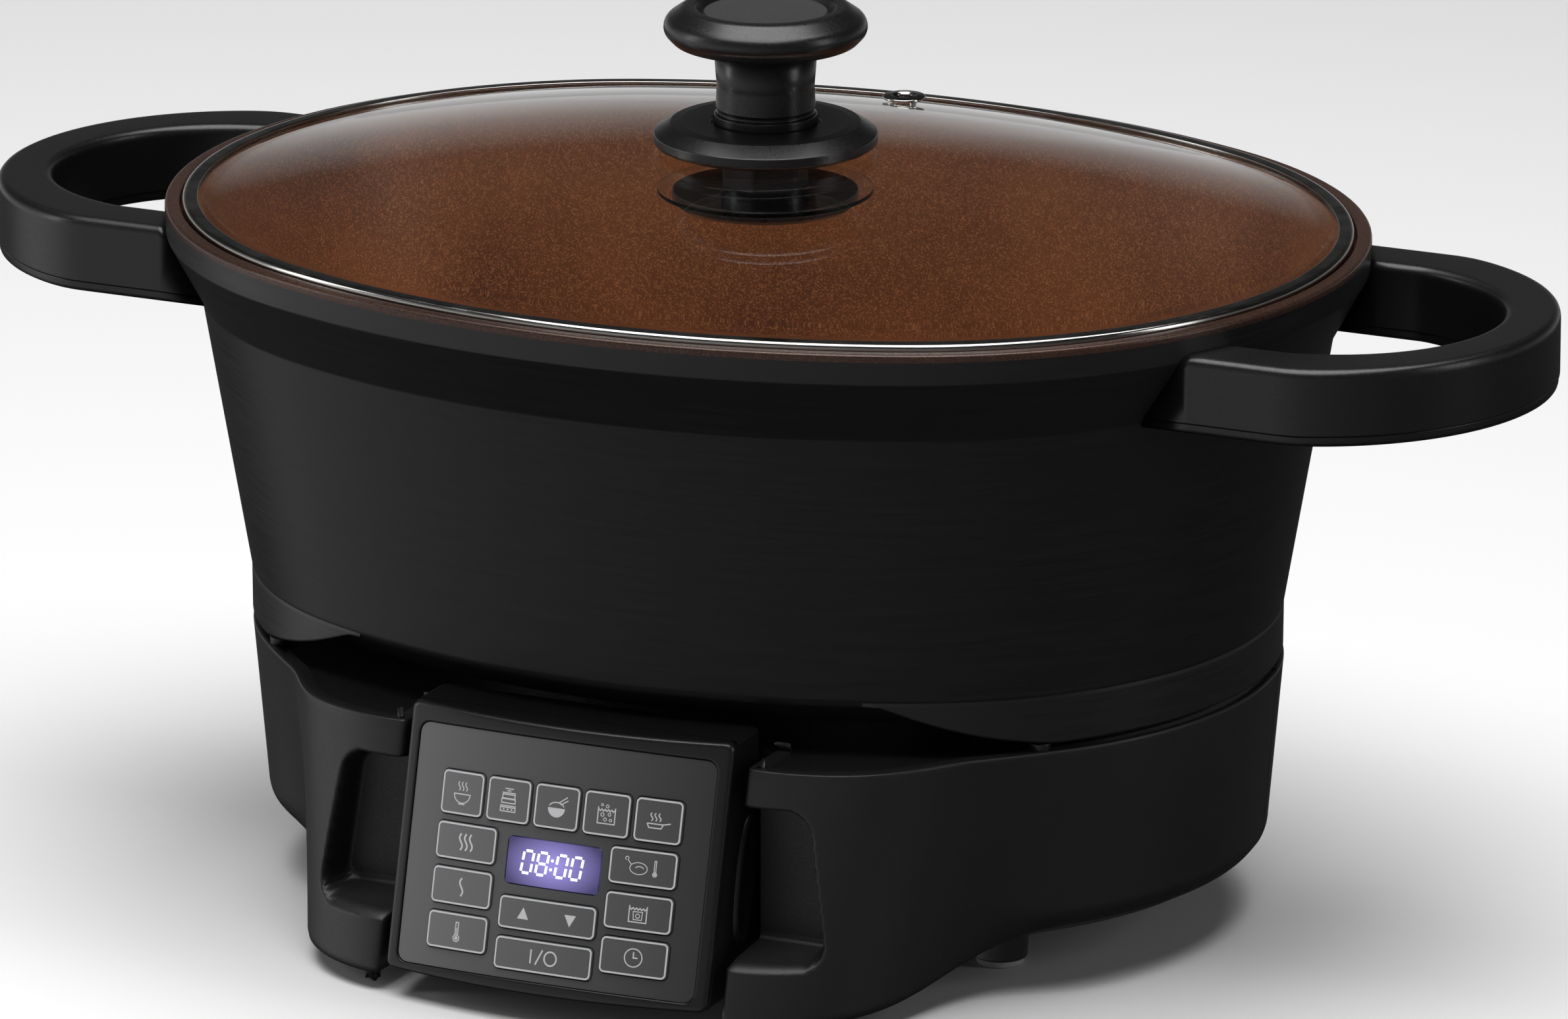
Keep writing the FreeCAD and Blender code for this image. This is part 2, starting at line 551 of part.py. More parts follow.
# deck: the flat top of the base, inside the covers, open for the heating plate and the module
deck_low = "base_top - deck_thick"
deck_level = box("deck_level", ("-" + FAR, "-" + FAR, deck_low), (FAR, FAR, "base_top"))
deck_form = common("deck_form", base_inside, deck_level)
deck_hole = oval_stack("deck_hole", [
    ("plate_half_length + 6", "plate_half_width + 6", "plate_half_width - 4", "0", deck_low + " - 1"),
    ("plate_half_length + 6", "plate_half_width + 6", "plate_half_width - 4", "0", "base_top + 1")])
slot_outer = "(slot_half_width + base_wall)"
module_slot = box("module_slot", ("-" + slot_outer, "-" + FAR, "0"), (slot_outer, "-slot_back", FAR))
deck_plate = cut("deck_plate", deck_form, deck_hole, module_slot)
back_wall = box("slot_back_wall", ("-slot_half_width", "-slot_back", "base_foot"),
                ("slot_half_width", "-slot_back + base_wall", deck_low))
skirt_line = "(rim_end_radius - skirt_inset - peg_radius)"  # the four pegs stand under the skirt's inner edge
peg_x, peg_y = "(rim_half_length - rim_end_radius + %s*cos(44 deg))" % skirt_line, "%s*sin(44 deg)" % skirt_line
pegs = [cylinder("rest_peg%d" % n, "peg_radius", deck_low + " + 1", "rim_height - skirt_drop", "%d*%s" % (sx, peg_x),
                 "%d*%s" % (sy, peg_y)) for n, (sx, sy) in enumerate(((1, -1), (1, 1), (-1, -1), (-1, 1)))]
socket_mouth = box("socket_mouth", ("-17", "-slot_back - 1", "34"), ("17", "-slot_back + base_wall + 1", "48"))
node("base_deck", cut("deck_open", fuse("deck_body", deck_plate, back_wall, *pegs), socket_mouth, base_skin))

# floor: closes the base from below and carries the feet
floor_low = "base_foot - floor_thick"
floor_oval = oval_stack("floor_oval", [pot_oval("base_inset + base_draft + base_wall + 8.4", floor_low),
                                       pot_oval("base_inset + base_draft + base_wall + 8.4", "base_foot")])
floor_wings = common("floor_wings", base_inside, box("floor_level", ("-" + FAR, "-" + FAR, floor_low),
                                                     (FAR, "-60", "base_foot")))
FEET = [(x, y) for y in ("-foot_front", "foot_rear") for x in ("foot_x", "-foot_x")]
foot_bosses = [cylinder("foot_boss%d" % n, "foot_radius + 0.8", "foot_pad", "base_foot", x, y)
               for n, (x, y) in enumerate(FEET)]
BOSSES = [("%d*(%s)" % (side, x), y)
          for x, y in (("rim_half_length - 52", "0"), ("60", "rim_half_width - 52.4"),
                       ("slot_half_width + 12", "-(rim_half_width - 60)")) for side in (1, -1)]
floor_holes = [cylinder("floor_hole%d" % n, "2", "0", "base_foot + 1", x, y)
               for n, (x, y) in enumerate(BOSSES)]
floor_plate = cut("floor_trim", fuse("floor_form", floor_oval, floor_wings), module_slot)
node("base_floor", cut("floor_drilled", fuse("floor_body", floor_plate, *foot_bosses), base_skin, *floor_holes))
node("foot_pads", group("foot_pad_group", [
    cylinder("foot_pad%d" % n, "foot_radius", "0", "foot_pad", x, y) for n, (x, y) in enumerate(FEET)]))
posts = [cut("deck_post_bored%d" % n, cylinder("deck_post%d" % n, "4", "base_foot", deck_low, x, y),
             cylinder("deck_post_hole%d" % n, "1.6", "base_foot - 1", "base_foot + 14", x, y))
         for n, (x, y) in enumerate(BOSSES)]
node("deck_posts", group("deck_post_group", posts))
floor_screws = [fuse("floor_screw%d" % n,
                     cylinder("floor_head%d" % n, "3.2", floor_low + " - 1.8", floor_low, x, y),
                     cylinder("floor_shank%d" % n, "1.5", floor_low + " - 0.5", "base_foot + 12", x, y))
                for n, (x, y) in enumerate(BOSSES)]
node("base_screws", group("base_screw_group", floor_screws))


# ---------------------------------------------------------------- heater
def plate_oval(inset, height):
    return ("plate_half_length", "plate_half_width", "plate_half_width - 6", inset, height)


plate_top = "rim_height - wall_foot_drop - pot_corner"
plate_low = "%s - plate_thick" % plate_top
pan_top = deck_low
pan_floor = "%s - pan_depth" % pan_top
plate = oval_stack("plate_form", [plate_oval("0", plate_low), plate_oval("0", plate_top)])
node("heating_plate", cut("plate_bored", plate, cylinder("plate_bore", "plate_hole", "0", FAR)))
element = doc.addObject("Part::Torus", "element_ring")
drive(element, Radius1="plate_half_width*0.68", Radius2="3.6")
element.Angle3 = 300
element.Placement.Rotation = FreeCAD.Rotation(Vector(0, 0, 1), 120)
put(element, "0", "0", "(%s) - 3.6" % plate_low)
node("heating_element", element)
pan = cut("pan_hollow", oval_stack("pan_out", [plate_oval("-3", pan_floor), plate_oval("-3", pan_top)]),
          oval_stack("pan_in", [plate_oval("-2", pan_floor + " + 1"), plate_oval("-2", pan_top + " + 1")]))
pan_lip = cut("pan_lip",
              oval_stack("lip_out", [plate_oval("-10", pan_top + " - 1"), plate_oval("-10", pan_top)]),
              oval_stack("lip_in", [plate_oval("-2.5", pan_top + " - 2"), plate_oval("-2.5", pan_top + " + 1")]))
POSTS = [("%d*(plate_half_length - 28)" % sx, "%d*22" % sy) for sx in (1, -1) for sy in (1, -1)]
pan_holes = [cylinder("pan_hole%d" % n, "2.6", "0", FAR, x, y) for n, (x, y) in enumerate(POSTS)]
pan_holes.append(cylinder("pan_centre_hole", "plate_hole", "0", FAR))
node("heat_pan", cut("pan_drilled", fuse("pan_form", pan, pan_lip), *pan_holes))
node("plate_posts", group("plate_post_group", [
    cylinder("plate_post%d" % n, "2.5", "base_foot", plate_low, x, y) for n, (x, y) in enumerate(POSTS)]))

node("sensor_cup", turned("sensor_cup_form", [
    ("plate_hole - 0.6", "base_foot"), ("plate_hole - 0.6", plate_low + " + 1"),
    ("plate_hole - 1.6", plate_low + " + 1"), ("plate_hole - 1.6", "base_foot + 2"), ("0", "base_foot + 2"),
    ("0", "base_foot")]))
node("sensor_button", turned("sensor_button_form", [
    ("0", "(%s) - 11" % plate_top), ("plate_hole - 2", "(%s) - 11" % plate_top),
    ("plate_hole - 2", "(%s) - 1" % plate_top), ("plate_hole - 3", plate_top), ("0", plate_top)]))
spring_low = "base_foot + 2"
spring_high = "(%s) - 11" % plate_top
spring = doc.addObject("Part::Feature", "sensor_spring_form")
coil_radius, wire = value("plate_hole - 3.6"), 0.5
low, high = value(spring_low) + wire, value(spring_high) - wire
helix = Part.makeHelix((high - low) / 9.5, high - low, coil_radius)
section = Part.Wire(Part.Circle(Vector(coil_radius, 0, 0), Vector(0, 1, 0.08), wire).toShape())
spring.Shape = Part.Wire(helix).makePipeShell([section], True, True)
put(spring, "0", "0", "%s + %g" % (spring_low, wire))
node("sensor_spring", spring)
fuse_body = cross_cylinder("fuse_body", "3", "16", "30", "-8", "(%s) - 3.2" % plate_low)
fuse_clip = box("fuse_clip", ("26", "-4", "(%s) - 7" % plate_low), ("34", "4", plate_low))
node("thermal_fuse", fuse("thermal_fuse_form", fuse_body, fuse_clip))

# ---------------------------------------------------------------- power parts inside the base
board_z = "base_foot + 5"
board = box("board_sheet", ("-46", "-92", board_z), ("46", "-40", board_z + " + 1.6"))
relay = box("relay", ("-40", "-86", board_z + " + 1.6"), ("-20", "-70", board_z + " + 15"))
transformer = box("transformer", ("-10", "-88", board_z + " + 1.6"), ("16", "-66", board_z + " + 18"))
capacitor = cylinder("capacitor", "5", board_z + " + 1.6", board_z + " + 16", "30", "-78")
heat_sink = box("heat_sink", ("-30", "-52", board_z + " + 1.6"), ("20", "-49", board_z + " + 18"))
standoffs = [cylinder("standoff%d" % n, "3", "base_foot", board_z, x, y)
             for n, (x, y) in enumerate((("-42", "-88"), ("42", "-88"), ("-42", "-44"), ("42", "-44")))]
node("power_board", fuse("power_board_form", board, relay, transformer, capacitor, heat_sink, *standoffs))
terminal = box("terminal_body", ("-16", "62", "base_foot"), ("16", "78", "base_foot + 14"))
terminal_cuts = [cross_cylinder("terminal_way%d" % n, "2", "20", x, "60", "base_foot + 8")
                 for n, x in enumerate(("-10", "0", "10"))]
node("terminal_block", cut("terminal_form", terminal, *terminal_cuts))
inlet_body = box("inlet_body", ("-14.5", "92", "27.5"), ("14.5", "(%s) - 2" % inlet_y, "48.5"))
inlet_hole = box("inlet_hole", ("-12", "100", "30"), ("12", "140", "46"))
inlet_foot = box("inlet_foot", ("-12", "92", "base_foot"), ("12", "97", "27.5"))
PINS = (("-7", "36"), ("7", "36"), ("0", "41"))
pins = [box("inlet_pin%d" % n, (x + " - 1", "94", z + " - 2"), (x + " + 1", "(%s) - 8" % inlet_y, z + " + 2"))
        for n, (x, z) in enumerate(PINS)]
inlet_block = fuse("inlet_block", cut("inlet_shell", inlet_body, inlet_hole), inlet_foot)
node("power_inlet", cut("inlet_form", inlet_block, *pins))
node("inlet_pins", group("inlet_pin_group", pins))
socket = box("socket_body", ("-16.5", "-slot_back", "34.5"), ("16.5", "-slot_back + 9", "47.5"))
socket_way = box("socket_way", ("-13.5", "-slot_back - 1", "37.5"), ("13.5", "-slot_back + 7", "44.5"))
node("module_socket", cut("socket_form", socket, socket_way))

# ---------------------------------------------------------------- control module
# The panel's own frame stands upright and is then leaned back: X right, Z up the panel, Y inwards.
LEAN = FreeCAD.Rotation(Vector(1, 0, 0), -value("panel_lean"))
face_middle = "(panel_high + panel_low)/2"


def lean(thing):
    thing.Placement.Rotation = LEAN
    return put(thing, "0", "-panel_front", face_middle)


def bowed(name, outside, inside, half_width, low, high):
    """A plate bent about a vertical axis behind the panel; outside and inside are depths from its face."""
    front = cylinder(name + "_front", "panel_bow - (%s)" % outside, low, high, "0", "panel_bow")
    back = cylinder(name + "_back", "panel_bow - (%s)" % inside, "-" + FAR, FAR, "0", "panel_bow")
    window = box(name + "_window", ("-(%s)" % half_width, "-5", low), (half_width, "30", high))
    return common(name, cut(name + "_skin", front, back), window)


half_height = "(panel_high - panel_low)/2/cos(panel_lean * 1deg)"
KEYS = {}  # name: (middle across, middle up, width, height) on the panel
for place, name in enumerate(("key_slow_cook", "key_steam", "key_rice", "key_water_bath", "key_sear")):
    KEYS[name] = ("key_left + key_pitch*%d" % place, "key_row", "key_wide", "key_tall")
for column, names in (("side_key_left", ("key_high", "key_low", "key_keep_warm")),
                      ("side_key_right", ("key_roast", "key_bag_cook", "key_timer"))):
    for place, name in enumerate(names):
        KEYS[name] = (column, "side_key_row - side_key_pitch*%d" % place, "side_key_wide", "side_key_tall")
KEYS["key_adjust"] = ("middle_x", "adjust_row", "middle_wide", "middle_tall")
KEYS["key_power"] = ("middle_x", "power_row", "middle_wide", "middle_tall")
DISPLAY = ("middle_x", "display_row", "display_wide", "display_tall")


def spot_box(name, spot, near, far, clear="0"):
    """A box over one key or window of the panel, from depth near to depth far."""
    across, up, wide, tall = spot
    low = ("(%s) - (%s)/2 - (%s)" % (across, wide, clear), near, "(%s) - (%s)/2 - (%s)" % (up, tall, clear))
    high = ("(%s) + (%s)/2 + (%s)" % (across, wide, clear), far, "(%s) + (%s)/2 + (%s)" % (up, tall, clear))
    return box(name, low, high)


def window_boxes(tag):
    spots = list(KEYS.items()) + [("display", DISPLAY)]
    return [spot_box("%s_%s" % (tag, name), spot, "-6", "16", "key_clear") for name, spot in spots]


overlay = bowed("overlay_form", "overlay_step", "overlay_step + overlay_thick", "overlay_half_width",
                "-overlay_half_height", "overlay_half_height")
node("key_overlay", lean(cut("overlay_cut", overlay, *window_boxes("overlay_window"))))

# bezel: the front frame, its top and bottom edges level, hollow behind
bezel_front = cylinder("bezel_front", "panel_bow", "-" + FAR, FAR, "0", "panel_bow")
bezel_back = cylinder("bezel_back", "panel_bow - bezel_thick", "-" + FAR, FAR, "0", "panel_bow")
back_room = common("bezel_room", bezel_back, box("bezel_room_box", (
    "-(panel_half_width - module_wall)", "-5", "-(%s) + 4" % half_height),
    ("panel_half_width - module_wall", "40", "(%s) - 4" % half_height)))
bezel_block = common("bezel_block", bezel_front, box("bezel_depth_box", ("-panel_half_width", "-5", "-60"),
                                                     ("panel_half_width", "bezel_depth", "60")))
overlay_seat = common("overlay_seat", box("overlay_seat_box", ("-(overlay_half_width + 0.2)", "-6",
                                                               "-(overlay_half_height + 0.2)"),
                                          ("overlay_half_width + 0.2", "30", "overlay_half_height + 0.2")),
                      cut("seat_depth", box("seat_depth_box", ("-80", "-10", "-80"), ("80", "40", "80")),
                          cylinder("seat_floor", "panel_bow - overlay_step - overlay_thick", "-" + FAR, FAR,
                                   "0", "panel_bow")))
PANEL_SCREWS = [("%d*(overlay_half_width - 4.3)" % sx, "%d*(overlay_half_height - 5.6)" % sz)
                for sx in (1, -1) for sz in (1, -1)]
board_front = "bezel_depth + 2"
panel_bosses = [cut("panel_boss%d" % n, cross_cylinder("panel_boss_rod%d" % n, "2.6", "(%s) - 6.5" % board_front,
                                                       x, "6.5", z),
                    cross_cylinder("panel_boss_hole%d" % n, "0.9", "20", x, "8", z))
                for n, (x, z) in enumerate(PANEL_SCREWS)]
bezel_frame = cut("bezel_frame", bezel_block, back_room, overlay_seat, *window_boxes("bezel_window"))
bezel = lean(cut("bezel_seated", fuse("bezel_form", bezel_frame, *panel_bosses), overlay))
level = box("bezel_level", ("-" + FAR, "-" + FAR, "panel_low"), (FAR, "0", "panel_high"))
node("module_bezel", common("bezel_level_cut", bezel, level))

key_front = "overlay_step - key_proud"
for name, spot in KEYS.items():
    low_z, high_z = "(%s) - (%s)/2" % (spot[1], spot[3]), "(%s) + (%s)/2" % (spot[1], spot[3])
    key = bowed(name + "_form", key_front, key_front + " + key_thick", "80", low_z, high_z)
    key = common(name + "_cap", key, spot_box(name + "_trim", spot, "-6", "30"))
    if name == "key_adjust":  # it rocks on a round rib along its back
        rib = cylinder("adjust_rib", "pivot_radius", low_z + " + 1", high_z + " - 1", "middle_x", "pivot_depth")
        key = fuse(name + "_rocker", key, rib)
    node(name, lean(key))
low_z, high_z = "(%s) - (%s)/2" % (DISPLAY[1], DISPLAY[3]), "(%s) + (%s)/2" % (DISPLAY[1], DISPLAY[3])
lens = bowed("lens_form", "overlay_step", "overlay_step + 2.6", "80", low_z, high_z)
node("display_window", lean(common("display_lens", lens, spot_box("lens_trim", DISPLAY, "-6", "30"))))
node("display_block", lean(group("display_group", [
    spot_box("display_body", DISPLAY, "overlay_step + 3.3", board_front, "-0.4")])))

# control board with one tact switch behind each key
board_back = "(%s) + 1.6" % board_front
board = box("control_sheet", ("-overlay_half_width", board_front, "-overlay_half_height + 2.2"),
            ("overlay_half_width", board_back, "overlay_half_height - 0.4"))
board_holes = [cross_cylinder("board_hole%d" % n, "1.4", "10", x, board_front + " - 1", z)
               for n, (x, z) in enumerate(PANEL_SCREWS)]
switches = []
for name, (across, up, wide, tall) in KEYS.items():
    sag = "(%s)^2/(2*(panel_bow - 2))" % across
    face = "%s + key_thick + (%s) + key_travel + 0.4" % (key_front, sag)
    for number, offset in enumerate(("-9", "9") if name == "key_adjust" else ("0",)):
        middle = "(%s) + %s" % (across, offset)
        switches.append(box("switch_%s%d" % (name, number), ("%s - 2" % middle, face, "(%s) - 2" % up),
                            ("%s + 2" % middle, board_front, "(%s) + 2" % up)))
node("control_board", lean(fuse("control_board_form", cut("control_drilled", board, *board_holes), *switches)))
panel_screws = []
for n, (x, z) in enumerate(PANEL_SCREWS):
    head = cross_cylinder("panel_head%d" % n, "2.2", "1.6", x, board_back, z)
    shank = cross_cylinder("panel_shank%d" % n, "0.8", "(%s) - 8" % board_back, x, "8.5", z)
    panel_screws.append(fuse("panel_screw%d" % n, head, shank))
node("module_screws", lean(group("panel_screw_group", panel_screws)))

# housing behind the bezel, its plug goes into the socket at the back of the slot


def bezel_plane(height, depth):
    """Y at a height on the plane that lies this deep behind the leaned panel."""
    return "-panel_front + ((%s) + ((%s) - (%s))*sin(panel_lean * 1deg))/cos(panel_lean * 1deg)" % (
        depth, height, face_middle)


def level_prism(name, low, high, back, depth, half_width):
    points = [(bezel_plane(low, depth), low), (back, low), (back, high), (bezel_plane(high, depth), high)]
    return slab(name, points, "0", half_width, role="YZ_Plane")


housing_back = "-(slot_back + module_gap)"
housing_form = level_prism("housing_form", "panel_low", "panel_high", housing_back, "bezel_depth",
                           "panel_half_width")
housing_room = level_prism("housing_room", "panel_low + module_wall", "panel_high - module_wall",
                           housing_back + " - module_wall", "bezel_depth - 3", "panel_half_width - module_wall")
side_grips = [box("side_grip%d" % n, (low_x, "-panel_front + 18", "22"), (high_x, "-slot_back - 8", "58"))
              for n, (low_x, high_x) in enumerate((("panel_half_width", "panel_half_width + 0.9"),
                                                   ("-panel_half_width - 0.9", "-panel_half_width")))]
plug_hole = box("plug_hole", ("-13.2", "-slot_back - 12", "37.6"), ("13.2", "-slot_back", "44.4"))
housing_solid = fuse("housing_solid", housing_form, *side_grips)
node("module_housing", cut("housing", housing_solid, housing_room, plug_hole))
plug_blade = box("plug_blade", ("-13", "-slot_back - 9", "38"), ("13", "-slot_back + 6", "44"))
plug_base = box("plug_base", ("-16", "-slot_back - 9", "35"), ("16", housing_back + " - module_wall", "47"))
node("module_plug", fuse("plug_form", plug_blade, plug_base))

# ---------------------------------------------------------------- place, check and write
mirror_names = [name for name, thing in nodes.items() if thing.TypeId == "Part::Mirroring"]
for name, thing in nodes.items():
    if name not in mirror_names:
        drive(thing, Placement__Base__y="(%s) + %s" % (SET_Y.get(thing.Name, "0"), SHIFT))
doc.recompute()

for thing in doc.Objects:
    if "Invalid" in thing.State or "Error" in thing.State:
        raise RuntimeError("%s did not build: %s" % (thing.Name, thing.State))
for name, thing in nodes.items():
    if thing.Shape.isNull() or not thing.Shape.isValid() or not thing.Shape.Solids:
        raise RuntimeError("%s has no valid solid" % name)

os.makedirs("parts", exist_ok=True)
for name, thing in nodes.items():
    thing.Shape.exportStep("parts/%s.step" % name)
print("%d nodes, Y shift %.2f mm" % (len(nodes), value(SHIFT)))
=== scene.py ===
# %% [markdown]
# # An oval slow cooker, dressed around its measured frame
#
# The real object is a countertop slow cooker: a cast pot coated black outside and copper brown
# inside, two loop handles, a domed glass lid with a turned knob, and a heated base of grained
# black plastic with a slide-out control module. The frame gives every body its place and its
# motion. This lesson gives those bodies their rounded forms and their finishes.

# %% Load the frame
import math

import bmesh
import bpy
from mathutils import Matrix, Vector


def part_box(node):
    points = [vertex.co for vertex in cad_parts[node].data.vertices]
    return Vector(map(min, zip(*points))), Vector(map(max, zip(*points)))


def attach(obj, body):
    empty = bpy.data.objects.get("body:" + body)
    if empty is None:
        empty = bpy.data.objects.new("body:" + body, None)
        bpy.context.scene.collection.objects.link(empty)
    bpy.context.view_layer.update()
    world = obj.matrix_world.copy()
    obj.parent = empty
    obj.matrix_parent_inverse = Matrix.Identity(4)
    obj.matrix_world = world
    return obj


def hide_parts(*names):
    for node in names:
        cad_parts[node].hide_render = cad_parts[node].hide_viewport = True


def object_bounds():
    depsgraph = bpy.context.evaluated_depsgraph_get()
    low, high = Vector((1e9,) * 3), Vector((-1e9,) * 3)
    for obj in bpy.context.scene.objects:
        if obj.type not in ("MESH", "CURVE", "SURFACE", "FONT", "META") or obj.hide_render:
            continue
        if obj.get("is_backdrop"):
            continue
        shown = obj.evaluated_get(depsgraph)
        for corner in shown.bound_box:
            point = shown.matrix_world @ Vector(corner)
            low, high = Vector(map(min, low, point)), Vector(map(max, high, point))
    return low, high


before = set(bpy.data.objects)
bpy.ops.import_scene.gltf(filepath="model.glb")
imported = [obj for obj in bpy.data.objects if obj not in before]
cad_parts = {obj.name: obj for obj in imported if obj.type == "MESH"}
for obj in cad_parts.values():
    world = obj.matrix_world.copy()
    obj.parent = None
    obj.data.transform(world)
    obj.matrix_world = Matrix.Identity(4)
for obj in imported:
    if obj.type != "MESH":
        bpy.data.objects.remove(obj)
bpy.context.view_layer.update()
MM = 0.001

# %% [markdown]
# ## Finishes
#
# Every finish is a node material. The textures read object coordinates, and each piece keeps its
# origin at the frame's origin, so a scale of 1000 means a grain of about one millimetre. One small
# helper adds a node and fills its sockets, which keeps each recipe short enough to read.

# %% Helpers for finishes


def new_finish(name, colour, rough, metal=0.0, **sockets):
    """A material with one Principled shader; sockets are set by name."""
    finish = bpy.data.materials.new(name)
    finish.use_nodes = True
    shader = finish.node_tree.nodes["Principled BSDF"]
    shader.inputs["Base Color"].default_value = (*colour, 1)
    shader.inputs["Roughness"].default_value = rough
    shader.inputs["Metallic"].default_value = metal
    for socket, value in sockets.items():
        shader.inputs[socket.replace("_", " ")].default_value = value
    finish.diffuse_color = (*colour, 1)
    return finish


def add(finish, kind, **inputs):
    """Add a node; each input is a plain value or another node's output; i0 means the first socket."""
    node = finish.node_tree.nodes.new("ShaderNode" + kind)
    for name, value in inputs.items():
        numbered = name[0] == "i" and name[1:].isdigit()
        socket = node.inputs[int(name[1:]) if numbered else name.replace("_", " ")]
        if isinstance(value, bpy.types.NodeSocket):
            finish.node_tree.links.new(value, socket)
        else:
            socket.default_value = value
    return node


def feed(finish, socket, output):
    finish.node_tree.links.new(output, finish.node_tree.nodes["Principled BSDF"].inputs[socket])


def place(finish, stretch=(1, 1, 1)):
    """Object coordinates, stretched per axis."""
    spot = add(finish, "TexCoord").outputs["Object"]
    return add(finish, "Mapping", Vector=spot, Scale=stretch).outputs["Vector"]


def grain(finish, size, stretch=(1, 1, 1), detail=3.0):
    """Noise whose bumps are about this many millimetres across."""
    return add(finish, "TexNoise", Vector=place(finish, stretch), Scale=1 / (size * MM),
               Detail=detail).outputs["Fac"]


def spread(finish, factor, low, high, start=0.3, end=0.7):
    """Turn a 0..1 factor into a number between low and high."""
    node = add(finish, "MapRange", Value=factor)
    for name, value in (("From Min", start), ("From Max", end), ("To Min", low), ("To Max", high)):
        node.inputs[name].default_value = value
    return node.outputs["Result"]


def blend_colours(finish, factor, first, second):
    node = add(finish, "MixRGB", i0=factor)
    for index, colour in ((1, first), (2, second)):
        if isinstance(colour, bpy.types.NodeSocket):
            finish.node_tree.links.new(colour, node.inputs[index])
        else:
            node.inputs[index].default_value = (*colour, 1)
    return node.outputs["Color"]


def emboss(finish, height, depth, strength=1.0):
    """Raise the surface by depth millimetres where the height is 1."""
    bump = add(finish, "Bump", Height=height, Distance=depth * MM, Strength=strength)
    feed(finish, "Normal", bump.outputs["Normal"])


# %% [markdown]
# ### Moulded and cast black
#
# Nearly everything is black, so the pieces are told apart by how they scatter light. The base is a
# spark-eroded plastic with a fine hard grain. The handles and the knob are a smoother phenolic. The
# pot wears a satin stove enamel, which is smoother still and shows faint drawn lines around it.

# %% Black finishes


def moulded_black(name, colour, rough, grain_size, grain_depth, spread_rough=0.06):
    finish = new_finish(name, colour, rough)
    fine = grain(finish, grain_size)
    cloud = grain(finish, 40, detail=2.0)
    darker = tuple(c * 0.72 for c in colour)
    feed(finish, "Base Color", blend_colours(finish, cloud, darker, tuple(c * 1.25 for c in colour)))
    feed(finish, "Roughness", spread(finish, fine, rough - spread_rough, rough + spread_rough))
    emboss(finish, fine, grain_depth)
    return finish


grained_shell = moulded_black("grained_shell", (0.0085, 0.0085, 0.009), 0.46, 0.5, 0.045)
smooth_deck = moulded_black("smooth_deck", (0.006, 0.006, 0.006), 0.42, 0.8, 0.02)
phenolic = moulded_black("phenolic_black", (0.0048, 0.0048, 0.005), 0.34, 0.7, 0.010)
knob_black = moulded_black("knob_black", (0.0055, 0.0055, 0.006), 0.33, 0.7, 0.008)
knob_grain = moulded_black("knob_soft_touch", (0.022, 0.022, 0.023), 0.62, 0.7, 0.10)
module_black = moulded_black("module_satin", (0.006, 0.006, 0.0065), 0.34, 0.6, 0.010)

enamel = new_finish("pot_enamel", (0.006, 0.006, 0.0062), 0.34)
drawn_lines = grain(enamel, 30, stretch=(1, 1, 26), detail=5.0)
orange_peel = grain(enamel, 2.2, detail=2.0)
feed(enamel, "Roughness", spread(enamel, drawn_lines, 0.31, 0.42))
feed(enamel, "Base Color", blend_colours(enamel, drawn_lines, (0.0048, 0.0048, 0.005),
                                         (0.0078, 0.0078, 0.008)))
emboss(enamel, orange_peel, 0.012)

anodised = new_finish("anodised_black", (0.012, 0.012, 0.013), 0.28, 0.2)
feed(anodised, "Roughness", spread(anodised, grain(anodised, 3), 0.25, 0.31))
print("black finishes:", [m.name for m in bpy.data.materials][-8:])

# %% [markdown]
# ### Copper-brown non-stick coat
#
# The inside of the pot is sprayed with a brown coat full of tiny bronze flakes. The flakes are cells
# of a Voronoi texture; only the brightest cells are lit up, and a wide noise makes the spray uneven.

# %% Copper coat


def flaked_coat(name, dark, warm, flake, rough, flake_size, lit_most):
    coat = new_finish(name, warm, rough, 0.35)
    cloud = grain(coat, 70, detail=3.0)
    body = blend_colours(coat, spread(coat, cloud, 0, 1), dark, warm)
    cells = add(coat, "TexVoronoi", Vector=place(coat), Scale=1 / (flake_size * MM))
    tint = add(coat, "SeparateColor", i0=cells.outputs["Color"]).outputs[0]
    lit = spread(coat, tint, 0, lit_most, 0.6, 0.98)
    feed(coat, "Base Color", blend_colours(coat, lit, body, flake))
    feed(coat, "Roughness", spread(coat, grain(coat, 1.4), rough - 0.07, rough + 0.07))
    emboss(coat, cells.outputs["Distance"], 0.015)
    return coat


copper_coat = flaked_coat("copper_coat", (0.085, 0.026, 0.009), (0.19, 0.062, 0.019), (0.50, 0.22, 0.09),
                          0.36, 0.36, 0.45)
rim_coat = flaked_coat("rim_coat", (0.030, 0.014, 0.010), (0.050, 0.022, 0.015), (0.12, 0.06, 0.038), 0.32,
                       0.3, 0.5)
print("coats:", copper_coat.name, rim_coat.name)

# %% [markdown]
# ### Metals, glass, rubber and the small inner parts
#
# Bright metal needs something to mirror, so it stays simple: full Metallic, low roughness and faint
# streaks. The glass is a Principled shader with full transmission and the thickness is modelled.

# %% Metals, glass and inner parts


def metal(name, colour, rough, streak=(1, 1, 20), size=8.0):
    finish = new_finish(name, colour, rough, 1.0)
    lines = grain(finish, size, stretch=streak, detail=4.0)
    feed(finish, "Roughness", spread(finish, lines, rough * 0.75, rough * 1.35))
    emboss(finish, lines, 0.01)
    return finish


def plain_moulding(name, colour, rough, size=1.2, **sockets):
    finish = new_finish(name, colour, rough, **sockets)
    fine = grain(finish, size)
    feed(finish, "Base Color", blend_colours(finish, fine, tuple(c * 0.85 for c in colour), colour))
    feed(finish, "Roughness", spread(finish, fine, rough - 0.05, rough + 0.05))
    return finish


